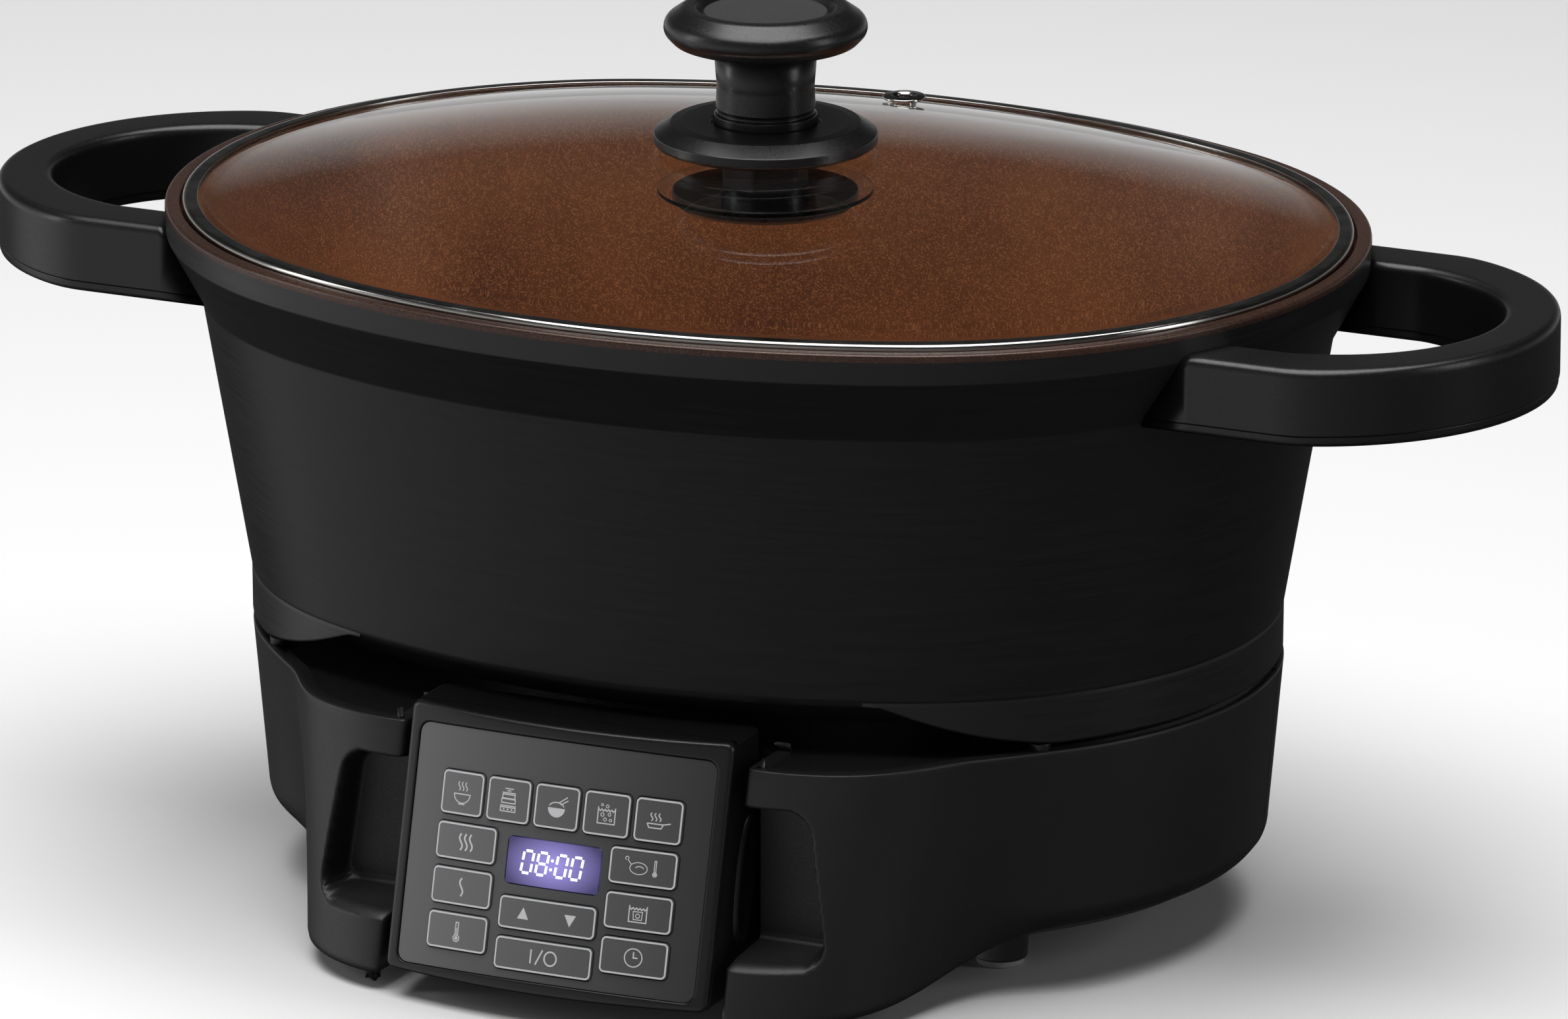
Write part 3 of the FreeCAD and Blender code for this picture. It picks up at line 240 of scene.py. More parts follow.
steel_band = metal("polished_steel", (0.40, 0.39, 0.375), 0.16)
pressed_steel = metal("pressed_steel", (0.50, 0.50, 0.51), 0.34)
zinc = metal("zinc_screws", (0.55, 0.56, 0.55), 0.30)
bright_pan = metal("bright_pan", (0.72, 0.72, 0.73), 0.22)
spring_wire = metal("spring_wire", (0.45, 0.45, 0.47), 0.28)
pin_brass = metal("pin_brass", (0.72, 0.53, 0.22), 0.25)
sheath = metal("element_sheath", (0.22, 0.20, 0.19), 0.42)
cast_plate = metal("cast_plate", (0.48, 0.48, 0.49), 0.40, streak=(1, 1, 1), size=1.5)
fuse_body = plain_moulding("fuse_ceramic", (0.74, 0.72, 0.64), 0.55)
cream = plain_moulding("terminal_cream", (0.70, 0.68, 0.60), 0.38)
inlet_black = plain_moulding("inlet_black", (0.014, 0.014, 0.014), 0.32)
foot_rubber = plain_moulding("foot_rubber", (0.42, 0.42, 0.41), 0.72)

circuit = new_finish("circuit_green", (0.02, 0.13, 0.05), 0.34)
tracks = add(circuit, "TexVoronoi", Vector=place(circuit), Scale=260.0).outputs["Distance"]
feed(circuit, "Base Color", blend_colours(circuit, spread(circuit, tracks, 0, 1, 0.25, 0.3),
                                          (0.012, 0.09, 0.035), (0.03, 0.19, 0.075)))

clear_glass = new_finish("clear_glass", (0.95, 0.965, 0.955), 0.0, Transmission_Weight=1.0, IOR=1.5)
silicone = new_finish("clear_silicone", (0.95, 0.97, 0.97), 0.03, Transmission_Weight=1.0, IOR=1.1)
print("finishes so far:", len(bpy.data.materials))

# %% [markdown]
# ## Sheets of points
#
# Almost every form here is a grid: a row of points drawn once, then repeated along a path. The
# helper joins equal rows into quads, closes them if asked, and hangs the new piece on its body.
# Corners are rounded in the drawn row itself, so no plain primitive is needed.

# %% Helpers for pieces


def join_rows(rows, around=True, closed=False):
    """Quads between equal rows; around joins each row's ends, closed joins the last row to the first."""
    width, count = len(rows[0]), len(rows)
    faces = []
    for j in range(count if closed else count - 1):
        low, high = j * width, ((j + 1) % count) * width
        for i in range(width if around else width - 1):
            k = (i + 1) % width
            faces.append((low + i, low + k, high + k, high + i))
    return [point for row in rows for point in row], faces


def new_piece(name, points, faces, finishes, body, stands_for=(), marks=None, sharp=None):
    """Points in millimetres become a piece that rides on a body of the frame."""
    mesh = bpy.data.meshes.new(name)
    mesh.from_pydata([Vector(p) * MM for p in points], [], faces)
    for finish in finishes if isinstance(finishes, (list, tuple)) else [finishes]:
        mesh.materials.append(finish)
    if marks:
        mesh.polygons.foreach_set("material_index", marks)
    mesh.polygons.foreach_set("use_smooth", [True] * len(mesh.polygons))
    mesh.validate()
    mesh.update()
    if sharp:
        mesh.set_sharp_from_angle(angle=math.radians(sharp))
    piece = bpy.data.objects.new(name, mesh)
    bpy.context.scene.collection.objects.link(piece)
    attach(piece, body)
    if stands_for:
        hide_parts(*stands_for)
    return piece


def even_shading(piece):
    """Large faces set the shading, so rounded edges don't tint the flats beside them."""
    piece.modifiers.new("even_shading", "WEIGHTED_NORMAL").keep_sharp = True
    return piece


def outward(piece):
    """Turn all faces of a closed piece to look outwards."""
    work = bmesh.new()
    work.from_mesh(piece.data)
    bmesh.ops.recalc_face_normals(work, faces=work.faces)
    work.to_mesh(piece.data)
    work.free()
    return piece


def rounded(profile, steps=4, loop=False):
    """Round a drawn row of (a, b, radius) corners; a radius of 0 keeps the point."""
    out = []
    count = len(profile)
    for i, (a, b, radius) in enumerate(profile):
        if radius == 0 or (not loop and i in (0, count - 1)):
            out.append((a, b))
            continue
        here = Vector((a, b))
        back = Vector(profile[i - 1][:2]) - here
        ahead = Vector(profile[(i + 1) % count][:2]) - here
        half = back.angle(ahead) / 2
        reach = min(radius / math.tan(half), back.length * 0.49, ahead.length * 0.49)
        start, end = here + back.normalized() * reach, here + ahead.normalized() * reach
        for step in range(steps + 1):
            t = step / steps
            spot = start * (1 - t) ** 2 + here * 2 * t * (1 - t) + end * t ** 2
            out.append((spot.x, spot.y))
    return out


def size_of(node):
    low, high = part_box(node)
    return low / MM, high / MM


# %% [markdown]
# ## The pot's oval
#
# The pot is drawn with four arcs that meet smoothly: two tight ends and two flat sides. Moving a
# wall inwards keeps the four centres and shortens the radii, so every wall stays parallel, as it
# does on a spun or cast pot. Length and width come from the frame; the end radius is the one size
# that the box can't tell.

# %% Oval path
pot_low, pot_high = size_of("pot_body")
HALF_LENGTH = pot_high.x
HALF_WIDTH = (pot_high.y - pot_low.y) / 2
AXIS_Y = (pot_high.y + pot_low.y) / 2
RIM_Z = pot_high.z
END_RADIUS = 135.0
END_MIDDLE = HALF_LENGTH - END_RADIUS
SIDE_RADIUS = (END_MIDDLE ** 2 + HALF_WIDTH ** 2 - END_RADIUS ** 2) / (2 * (HALF_WIDTH - END_RADIUS))
SIDE_MIDDLE = SIDE_RADIUS - HALF_WIDTH
TURN = math.atan2(SIDE_MIDDLE, END_MIDDLE)
END_STEPS, SIDE_STEPS = 60, 40


def oval_angles():
    """The direction of the wall at evenly spread places, once around from the right end."""
    ends = [-TURN + 2 * TURN * i / END_STEPS for i in range(END_STEPS)]
    sides = [TURN + (math.pi - 2 * TURN) * i / SIDE_STEPS for i in range(SIDE_STEPS)]
    return ends + sides + [a + math.pi for a in ends] + [a + math.pi for a in sides]


def oval_point(angle, inset, z=0.0):
    """A point of the oval wall that looks in this direction, moved inwards by the inset."""
    across, along = math.cos(angle), math.sin(angle)
    if abs(math.atan2(along, abs(across))) <= TURN:
        radius = END_RADIUS - inset
        return (math.copysign(END_MIDDLE, across) + radius * across, AXIS_Y + radius * along, z)
    radius = SIDE_RADIUS - inset
    return (radius * across, AXIS_Y + radius * along - math.copysign(SIDE_MIDDLE, along), z)


ANGLES = oval_angles()


def oval_row(inset, z):
    return [oval_point(angle, inset, z) for angle in ANGLES]


print("rim %.0f x %.0f mm, side radius %.0f mm" % (2 * HALF_LENGTH, 2 * HALF_WIDTH, SIDE_RADIUS))

# %% [markdown]
# ## Pot
#
# A die-cast pot has one wall all round, so one profile swept around the oval makes it: up the
# outside, over the rim, down the step that the lid sits in, and along the inside to the floor. The
# first faces get the enamel, the rim its brown edge and the inside the copper coat. Creases are
# small arcs in the profile, which catch a thin line of light as the casting does.

# %% Pot wall
SHOULDER_DROP, SHOULDER_IN = 28.0, 10.5
FOOT_DROP, FOOT_IN, CORNER = 110.5, 24.2, 7.5
WALL = 2.6
SEAT_IN, SEAT_WIDE, SEAT_DROP = 4.4, 4.6, 3.7
RIM_BAND = 9.0
FLOOR_IN = 128.0
floor_z = RIM_Z - FOOT_DROP - CORNER
outside = rounded([
    (FLOOR_IN, floor_z, 0), (FOOT_IN + 9.5, floor_z, 5.0), (FOOT_IN + 0.3, RIM_Z - FOOT_DROP, 5.0),
    (SHOULDER_IN, RIM_Z - SHOULDER_DROP, 3.0), (0.3, RIM_Z - RIM_BAND, 1.6), (0.0, RIM_Z - 2.2, 0)],
    steps=7)
rim = rounded([(0.0, RIM_Z - 2.2, 0), (0.0, RIM_Z, 1.3), (SEAT_IN, RIM_Z, 0.8),
               (SEAT_IN, RIM_Z - SEAT_DROP, 0)])
inside = rounded([
    (SEAT_IN, RIM_Z - SEAT_DROP, 0), (SEAT_IN + SEAT_WIDE, RIM_Z - SEAT_DROP, 1.2),
    (SHOULDER_IN + WALL, RIM_Z - SHOULDER_DROP, 4.0), (FOOT_IN + 1.3, RIM_Z - 103, 9.0),
    (FOOT_IN + 17.8, floor_z + WALL, 14.0), (FLOOR_IN, floor_z + WALL, 0)], steps=9)
profile = outside + rim[1:] + inside[1:]
points, faces = join_rows([oval_row(inset, z) for inset, z in profile])
around = len(ANGLES)
marks = []
for row in range(len(profile) - 1):
    kind = 0 if row < len(outside) - 1 else (1 if row < len(outside) + len(rim) - 2 else 2)
    marks += [kind] * around
faces.append(tuple(range(around))[::-1])
faces.append(tuple(range(len(points) - around, len(points))))
marks += [0, 2]
pot = new_piece("pot_casting", points, faces, [enamel, rim_coat, copper_coat], "pot",
                ["pot_body"], marks)
even_shading(outward(pot))
print("pot casting:", len(points), "points, floor at %.0f mm" % floor_z)

# %% [markdown]
# ### Pot skirt
#
# Below each end the wall carries on as a short skirt, which stands over the base. It dies out
# towards the middle of each long side. A band is swept along the oval, and its lower edge is drawn
# up to the pot's corner over the last few centimetres.

# %% Skirt
SKIRT_IN, SKIRT_WALL, SKIRT_FOOT = 24.4, 2.6, RIM_Z - 124.2
TIP_REACH, FULL_REACH = 80.0, 127.0
CREASE = RIM_Z - FOOT_DROP


def skirt_foot(x):
    """Height of the skirt's lower edge: full at the ends, drawn up into the wall at the tips."""
    share = min(1.0, max(0.0, (abs(x) - TIP_REACH) / (FULL_REACH - TIP_REACH)))
    return CREASE + 1.5 - (CREASE + 1.5 - SKIRT_FOOT) * share * (1.5 - 0.5 * share)


for side, body_angle in (("right", 0.0), ("left", math.pi)):
    steps = 110
    rows = []
    for i in range(steps + 1):
        angle = body_angle + (i / steps * 2 - 1) * math.radians(69)
        foot = skirt_foot(oval_point(angle, SKIRT_IN)[0])
        wall = 1.0 + (SKIRT_WALL - 1.0) * min(1.0, max(0.0, (CREASE - 1 - foot) / 5.0))
        row = rounded([(SKIRT_IN + 1.3, CREASE + 4.5, 0), (SKIRT_IN + 0.5, CREASE + 4.5, 0),
                       (SKIRT_IN, CREASE - 0.3, 1.0),
                       (SKIRT_IN + 0.1, min(foot, CREASE - 0.6), 0.9),
                       (SKIRT_IN + wall, min(foot, CREASE - 0.6), 0.7),
                       (SKIRT_IN + wall, CREASE + 1.5, 0)])
        rows.append([oval_point(angle, inset, z) for inset, z in row])
    points, faces = join_rows(rows)
    count = len(rows[0])
    faces += [tuple(range(count))[::-1], tuple(range(len(points) - count, len(points)))]
    skirt = new_piece("pot_skirt_" + side, points, faces, enamel, "pot")
    even_shading(outward(skirt))
print("skirts drop to %.0f mm" % SKIRT_FOOT)

# %% [markdown]
# ## Loop handles
#
# Each handle is a flat loop moulded in one go, tall in section, with soft upper edges. It is a row
# of rounded rectangles drawn across the bar and joined along the loop. The two arms run into the
# pot, so their first row is slid along until every point meets the sloping wall. A thin cover with
# its own parting line closes the underside.

# %% Handles
END_CURVE, BAR_WIDE, TIP_WIDE, HOLE_RADIUS = 72.0, 19.5, 15.5, 48.6


def wall_reach(y, z):
    """How far the pot's outside reaches along X at this height."""
    drop = RIM_Z - z
    if drop < SHOULDER_DROP:
        inset = SHOULDER_IN * max(0.0, drop - RIM_BAND) / (SHOULDER_DROP - RIM_BAND)
    else:
        inset = SHOULDER_IN + (FOOT_IN - SHOULDER_IN) * (drop - SHOULDER_DROP) / (FOOT_DROP - SHOULDER_DROP)
    return END_MIDDLE + math.sqrt((END_RADIUS - inset) ** 2 - (y - AXIS_Y) ** 2)


def loop_edge(reach, half, radius, steps):
    """One edge of the loop, from the front root around the tip to the rear root."""
    middle = reach - radius
    turn = math.asin(min(half, radius * 0.985) / radius)
    start = middle + radius * math.cos(turn)
    side_steps = steps // 5
    root = END_MIDDLE + math.sqrt(END_RADIUS ** 2 - half ** 2) + 1.0  # clear of the wall at the rim
    start = max(start, root + 2)
    arm = [Vector((root + (start - root) * i / side_steps, -half)) for i in range(side_steps)]
    count = steps - 2 * side_steps
    bend = [Vector((middle + radius * math.cos(-turn + 2 * turn * i / count),
                    radius * math.sin(-turn + 2 * turn * i / count)))
            for i in range(count + 1)]
    line = arm + bend + [Vector((p.x, -p.y)) for p in arm[::-1]]
    for _ in range(14):  # ease the arm into the bend
        line = [line[0]] + [(line[i - 1] + line[i] * 2 + line[i + 1]) / 4 for i in range(1,
            len(line) - 1)] + [line[-1]]
    return line


def loop_section(wide, low, high, foot_round, top_round):
    """The bar's rounded section: places across (0 outer, wide inner) and heights."""
    return rounded([(0, low, foot_round), (wide, low, foot_round), (wide, high, top_round),
                    (0, high, top_round)], 5, loop=True)


def loop_handle(name, node, side, slim, rounds):
    low, high = size_of(node)
    reach, half = max(abs(low.x), abs(high.x)), (high.y - low.y) / 2
    bar = BAR_WIDE - slim
    section = loop_section(bar, low.z, high.z, *rounds)
    steps = 120
    outer_line = loop_edge(reach, half, END_CURVE, steps)
    inner_line = loop_edge(reach - TIP_WIDE + slim, half - bar, HOLE_RADIUS, steps)
    rows = []
    for i, (outer, inner) in enumerate(zip(outer_line, inner_line)):
        row = []
        for across, z in section:
            spot = outer + (inner - outer) * (across / bar)
            x = spot.x
            if i in (0, steps):
                x = wall_reach(spot.y + AXIS_Y, z) - 1.2
            row.append((side * x, spot.y + AXIS_Y, z))
        rows.append(row)
    points, faces = join_rows(rows)
    count = len(section)
    faces += [tuple(range(count))[::-1], tuple(range(len(points) - count, len(points)))]
    piece = new_piece(name, points, faces, phenolic, "pot", [node])
    return even_shading(outward(piece))


for side, word in ((1, "right"), (-1, "left")):
    grip = loop_handle("handle_grip_" + word, "handle_" + word, side, 0.0, (0.5, 3.2))
    loop_handle("handle_underside_" + word, "handle_cover_" + word, side, 0.8, (1.6, 0.3))
print("handle bar", BAR_WIDE, "mm wide,", len(grip.data.vertices), "points each")

# %% [markdown]
# ## Lid
#
# The lid is a shallow glass dome whose flat edge is gripped by a folded steel band. The dome is made
# of ovals that shrink towards the middle while they rise. It needs both faces of the glass, four
# millimetres apart, because only a closed wall bends and mirrors light as real glass does.

# %% Lid band and glass
band_low, band_high = size_of("lid_rim")
glass_low, glass_high = size_of("lid_glass")
LID_IN = HALF_LENGTH - band_high.x
BAND = 4.6
GLASS_IN = HALF_LENGTH - glass_high.x
DOME_IN = LID_IN + BAND + 2.2
GLASS_WALL = 4.0
edge_top = band_high.z - 0.9
section = rounded([
    (LID_IN, band_low.z, 1.0), (LID_IN, band_high.z, 1.6), (LID_IN + BAND, band_high.z, 0.35),
    (LID_IN + BAND, band_high.z - 0.7, 0.1), (LID_IN + 0.8, band_high.z - 0.8, 0),
    (LID_IN + 0.8, band_low.z + 0.8, 0),
    (LID_IN + BAND, band_low.z + 0.7, 0), (LID_IN + BAND, band_low.z, 0.3)], 5, loop=True)
points, faces = join_rows([oval_row(inset, z) for inset, z in section], closed=True)
band = new_piece("lid_band", points, faces, steel_band, "lid", ["lid_rim"])
even_shading(outward(band))


def dome_row(share, z):
    """The dome's oval, shrunk towards the lid's middle."""
    return [(x * share, AXIS_Y + (y - AXIS_Y) * share, z) for x, y, z in oval_row(DOME_IN, z)]


rise = glass_high.z - edge_top
top_rows = [oval_row(GLASS_IN, edge_top - 1.0), oval_row(GLASS_IN + 0.3, edge_top - 0.2),
            oval_row(GLASS_IN + 1.2, edge_top),
            oval_row(DOME_IN - 1.6, edge_top), oval_row(DOME_IN - 0.6, edge_top + 0.08)]
shares = [1 - 0.012 * i for i in range(5)] + [0.94 - 0.04 * i for i in range(23)] + [0.035]
top_rows += [dome_row(s, edge_top + rise * (1 - s * s) + 0.25) for s in shares[1:]]
under_rows = [[(x, y, max(z - GLASS_WALL, glass_low.z)) for x, y, z in row] for row in top_rows[3:]]
rows = top_rows + under_rows[::-1] + [oval_row(GLASS_IN + 1.0, glass_low.z),
                                      oval_row(GLASS_IN, glass_low.z + 1.0)]
points, faces = join_rows(rows, closed=True)
glass = new_piece("lid_dome", points, faces, clear_glass, "lid", ["lid_glass"])
outward(glass)
glass.visible_shadow = False  # clear glass lets the studio light reach the pot
print("glass dome rises %.1f mm" % rise)

# %% [markdown]
# ### Turned pieces of the knob
#
# The knob is a stack of turned parts: a wide washer on the glass, a slim anodised stem and a dished
# cap with a soft insert. Below the glass a hexagonal spacer, a clear seal and a disc clamp it. Each
# is one profile swung around the lid's middle, with its heights read from the frame.

# %% Knob
TURN_STEPS = 96


def turned_piece(name, profile, finish, stands_for, centre=(0.0, None), body="lid", sides=None):
    """Swing a closed profile of (radius, height) around an upright line."""
    cx, cy = centre[0], AXIS_Y if centre[1] is None else centre[1]
    rows = []
    for radius, z in profile:
        row = []
        for i in range(TURN_STEPS):
            angle = 2 * math.pi * i / TURN_STEPS
            reach = radius * (sides(angle) if sides else 1)
            row.append((cx + reach * math.cos(angle), cy + reach * math.sin(angle), z))
        rows.append(row)
    points, faces = join_rows(rows, closed=True)
    piece = new_piece(name, points, faces, finish, body, stands_for)
    return even_shading(outward(piece))


BORE = 2.6
low, high = size_of("knob_flange")
radius = high.x
turned_piece("knob_washer", rounded([
    (BORE, low.z, 0), (radius - 1.2, low.z, 1.0), (radius, low.z + 1.0, 0.6), (radius, low.z + 3.6, 0.7),
    (radius - 5.0, high.z - 0.2, 1.2), (radius - 8, high.z, 1.0), (16.2, high.z, 0.4),
    (15.6, high.z - 0.8, 0.2), (BORE, high.z - 0.8, 0)],
    5, loop=True), knob_black, ["knob_flange"])
low, high = size_of("knob_stem")
radius = high.x
turned_piece("knob_stem_spool", rounded([
    (BORE, low.z - 0.7, 0), (radius, low.z - 0.7, 0.2), (radius, low.z + 2.4, 0.5),
    (radius - 0.9, low.z + 2.9, 0.3),
    (radius - 0.9, low.z + 3.6, 0.3), (radius - 0.45, low.z + 4.4, 0.5),
    (radius - 0.75, (low.z + high.z) / 2, 12.0),
    (radius + 0.1, high.z, 0), (BORE, high.z, 0)], 5, loop=True), anodised, ["knob_stem"])
low, high = size_of("knob_cap")
radius, dish_in, dish_depth = high.x, 18.9, 2.4
turned_piece("knob_cap_dished", rounded([
    (BORE, low.z + 0.2, 0), (16.0, low.z + 0.2, 0.8), (19.0, low.z + 0.6, 2.0),
    (radius - 3.2, low.z + 2.2, 3.0),
    (radius, low.z + 5.6, 4.0), (radius - 0.6, low.z + 9.3, 4.0), (radius - 6.0, high.z, 4.0),
    (dish_in + 1.6, high.z, 1.2),
    (dish_in, high.z - dish_depth, 0.6), (BORE, high.z - dish_depth, 0)], 6, loop=True), knob_black,
    ["knob_cap"])
low, high = size_of("knob_insert")
radius = high.x
turned_piece("knob_soft_insert", rounded([
    (0.05, low.z, 0), (radius, low.z, 0.1), (radius - 0.3, high.z, 0.4),
    (radius - 5.0, high.z - 0.25, 3.0), (0.05, high.z - 0.35, 0)],
    5, loop=True), knob_grain, ["knob_insert"])
print("knob cap %.1f mm across" % (2 * size_of("knob_cap")[1].x))

# %% Clamp below the glass


def hexagon(angle):
    """Reach of a hexagon with softened corners, as a share of its corner radius."""
    turn = (angle + math.radians(20)) % (math.pi / 3) - math.pi / 6
    return min(math.cos(math.pi / 6) / math.cos(turn), 0.975)


low, high = size_of("hex_spacer")
radius = high.x
turned_piece("clamp_hexagon", rounded([
    (BORE, low.z, 0), (radius - 0.6, low.z, 0.5), (radius, low.z + 0.8, 0.5), (radius, high.z + 0.2, 0.3),
    (BORE, high.z + 0.2, 0)],
    4, loop=True), knob_black, ["hex_spacer"], sides=hexagon)
low, high = size_of("inner_seal")
seal = turned_piece("clamp_seal", rounded([
    (BORE, low.z, 0), (high.x, low.z, 0.4), (high.x, high.z, 0.4), (BORE, high.z, 0)], 4, loop=True),
    silicone, ["inner_seal"])
seal.visible_shadow = False
low, high = size_of("inner_disc")
turned_piece("clamp_disc", rounded([
    (BORE, low.z, 0), (high.x - 1.6, low.z, 1.0), (high.x, low.z + 1.3, 0.6), (high.x, high.z, 0.4),
    (BORE, high.z, 0)],
    5, loop=True), knob_black, ["inner_disc"])
low, high = size_of("vent_eyelet")
vent_y = (low.y + high.y) / 2
flange = (high.x - low.x) / 2
turned_piece("vent_ring", rounded([
    (flange - 3.5, low.z, 0), (flange - 2.8, low.z, 0), (flange - 2.8, high.z - 0.8, 0.3),
    (flange, high.z - 0.9, 0.3),
    (flange - 0.2, high.z - 0.1, 0.4), (flange - 2.9, high.z + 0.1, 0.5),
    (flange - 3.5, high.z - 0.6, 0.3)], 4, loop=True),
    steel_band, ["vent_eyelet"], centre=(0.0, vent_y))
print("vent at", round(vent_y, 1), "mm behind the middle")

# %% [markdown]
# ## Base covers
#
# The base is the hardest form. Seen from above it is the pot's oval with a prow that swells out on
# both sides of the control module, and the two meet in a soft hollow. It widens downwards at the
# prow and tapers at the ends. Each level is drawn as one smooth spline through a few control
# places: the slot, the prow and the oval. Levels are stacked, and the finger pocket is pressed into
# the grid afterwards, which keeps its edges as soft as a moulding's.

# %% Base path
BASE_TOP = size_of("base_shell_rear")[1].z
SLOT = 54.0
BASE_IN = 24.2
OVAL_FOOT = size_of("base_shell_rear")[0].z
PROW_FOOT = 5.0
SEAM_Y = 25.0
SLOT_BACK = 107.0
# plan of the prow as (out from the middle, ahead of the axis), at the top edge and at the foot
PROW_TOP = ((SLOT, 107), (SLOT, 122), (SLOT, 127.0), (57, 127.4), (66, 127.0), (79, 123.5), (92, 116),
            (101, 104), (106.5, 95.5), (114, 88.5))
PROW_LOW = ((SLOT, 107), (SLOT, 140), (SLOT, 146.0), (57, 146.3), (66, 144.0), (78, 137.5), (89, 125),
            (96, 106), (100.5, 90), (109, 75.5))


def spline(points, places):
    """A smooth open curve guided by points; places run from 0 to 1."""
    guide = [Vector(points[0])] * 2 + [Vector(p) for p in points] + [Vector(points[-1])] * 2
    spans = len(guide) - 3
    out = []
    for place_ in places:
        t = min(place_, 0.999999) * spans
        k = int(t)
        f = t - k
        a, b, c, d = guide[k:k + 4]
        out.append(a * ((1 - f) ** 3 / 6) + b * ((3 * f ** 3 - 6 * f ** 2 + 4) / 6)
                   + c * ((-3 * f ** 3 + 3 * f ** 2 + 3 * f + 1) / 6) + d * (f ** 3 / 6))
    return out


DRAFT, FOOT_START, FOOT_CURVE = 4.2, 28.0, 8.0


def oval_inset(z):
    """How far the base's oval is inside the rim at this height: drafted, then rounded at the foot."""
    if z >= FOOT_START:
        return BASE_IN + DRAFT * (BASE_TOP - z) / (BASE_TOP - FOOT_START)
    turn = math.asin(min(1.0, (FOOT_START - z) / FOOT_CURVE))
    return BASE_IN + DRAFT + FOOT_CURVE * (1 - math.cos(turn))


def side_row(level, inset, prow_z, oval_z, places):
    """One level of a side cover, from the slot's rear around the prow to the seam."""
    guide = []
    for (x0, y0), (x1, y1) in zip(PROW_TOP, PROW_LOW):
        x, y = x0 + (x1 - x0) * level, y0 + (y1 - y0) * level
        guide.append([x, AXIS_Y - y, prow_z])
    radius = END_RADIUS - oval_inset(oval_z)
    first = math.degrees(math.atan2(guide[-1][1] - AXIS_Y, guide[-1][0] - END_MIDDLE))
    last = math.degrees(math.asin(SEAM_Y / radius))
    begin = first * 0.8
    for i in range(8):
        angle = math.radians(begin + (last - begin) * i / 7)
        guide.append([END_MIDDLE + radius * math.cos(angle), AXIS_Y + radius * math.sin(angle), oval_z])
    count = len(PROW_TOP)
    guide[count - 1][2] = prow_z + (oval_z - prow_z) * 0.75
    guide[count - 2][2] = prow_z + (oval_z - prow_z) * 0.35
    guide[count - 3][2] = prow_z + (oval_z - prow_z) * 0.08
    row = spline(guide, places)
    if inset:
        moved = []
        for i, spot in enumerate(row):
            back, ahead = row[max(i - 1, 0)], row[min(i + 1, len(row) - 1)]
            along = Vector((ahead.x - back.x, ahead.y - back.y, 0)).normalized()
            moved.append(spot + Vector((-along.y, along.x, 0)) * inset)
        row = moved
    return row


places = [i / 150 * 0.5 for i in range(151)] + [0.5 + 0.5 * i / 70 for i in range(1, 71)]
top_row = side_row(0, 0, BASE_TOP, BASE_TOP, places)
print("side path:", len(top_row), "places, from", top_row[0].to_tuple(0), "to", top_row[-1].to_tuple(0))

# %% Side covers with finger pockets
POCKET_LOW, POCKET_HIGH = 22.5, 65.0
POCKET_TOP_OUT, POCKET_LOW_OUT = 73.0, 80.0
POCKET_BACK = 117.5
POCKET_ROUND, POCKET_SOFT = 6.0, 2.4
COVER_WALL = 2.5


def pocket_share(x, z):
    """1 inside the finger pocket, 0 outside, with a soft edge."""
    share = (POCKET_HIGH - z) / (POCKET_HIGH - POCKET_LOW)
    out = POCKET_TOP_OUT + (POCKET_LOW_OUT - POCKET_TOP_OUT) * share
    dx = x - (out - POCKET_ROUND)
    dz = max(z - (POCKET_HIGH - POCKET_ROUND), (POCKET_LOW + POCKET_ROUND) - z)
    if dx > 0 and dz > 0:
        gap = math.hypot(dx, dz) - POCKET_ROUND
    else:
        gap = max(dx, dz) - POCKET_ROUND
    share = min(1.0, max(0.0, 0.5 - gap / POCKET_SOFT))
    return share * share * (3 - 2 * share)


def side_cover(word, side):
    rounding = [(COVER_WALL + 2.0, 0.0), (0.9, 0.0), (0.3, 0.09), (0.08, 0.35), (0.0, 0.9)]
    heights = [BASE_TOP - 0.9]
    step = 1.05
    while heights[-1] - step > FOOT_START + 1:
        heights.append(heights[-1] - step)
    rows = [side_row(0.0, inset, BASE_TOP - drop, BASE_TOP - drop, places) for inset, drop in rounding]
    span = BASE_TOP - PROW_FOOT
    for z in heights[1:]:
        rows.append(side_row((BASE_TOP - z) / span, 0, z, z, places))
    last = heights[-1]
    for i in range(1, 19):
        share = i / 18
        prow_z = last + (PROW_FOOT + 2.5 - last) * share
        oval_z = last + (OVAL_FOOT + 0.02 - last) * math.sin(share * math.pi / 2)
        rows.append(side_row((BASE_TOP - prow_z) / span, 0, prow_z, oval_z, places))
    for inset, drop in ((0.35, 1.5), (1.2, 2.2), (2.5, 2.5), (6.0, 2.5)):
        prow_z = PROW_FOOT + 2.5 - drop
        rows.append(side_row((BASE_TOP - prow_z) / span, inset, prow_z, OVAL_FOOT, places))
    shaped = []
    for row in rows:
        line = []
        for spot in row:
            share = pocket_share(spot.x, spot.z)
            back = AXIS_Y - POCKET_BACK
            y = spot.y + max(0.0, back - spot.y) * share * 0.985
            line.append((side * spot.x, y, spot.z))
        shaped.append(line)
    points, faces = join_rows(shaped, around=False)
    cover = new_piece("base_cover_" + word, points, faces, grained_shell, "base",
                      ["base_shell_" + word])
    work = bmesh.new()
    work.from_mesh(cover.data)
    bmesh.ops.recalc_face_normals(work, faces=work.faces)
    middle = max(work.faces, key=lambda f: abs(f.calc_center_median().x))
    if middle.normal.x * side < 0:
        bmesh.ops.reverse_faces(work, faces=work.faces)
    work.to_mesh(cover.data)
    work.free()
    wall = cover.modifiers.new("wall", "SOLIDIFY")
    wall.thickness, wall.offset = COVER_WALL * MM, -1
    return cover


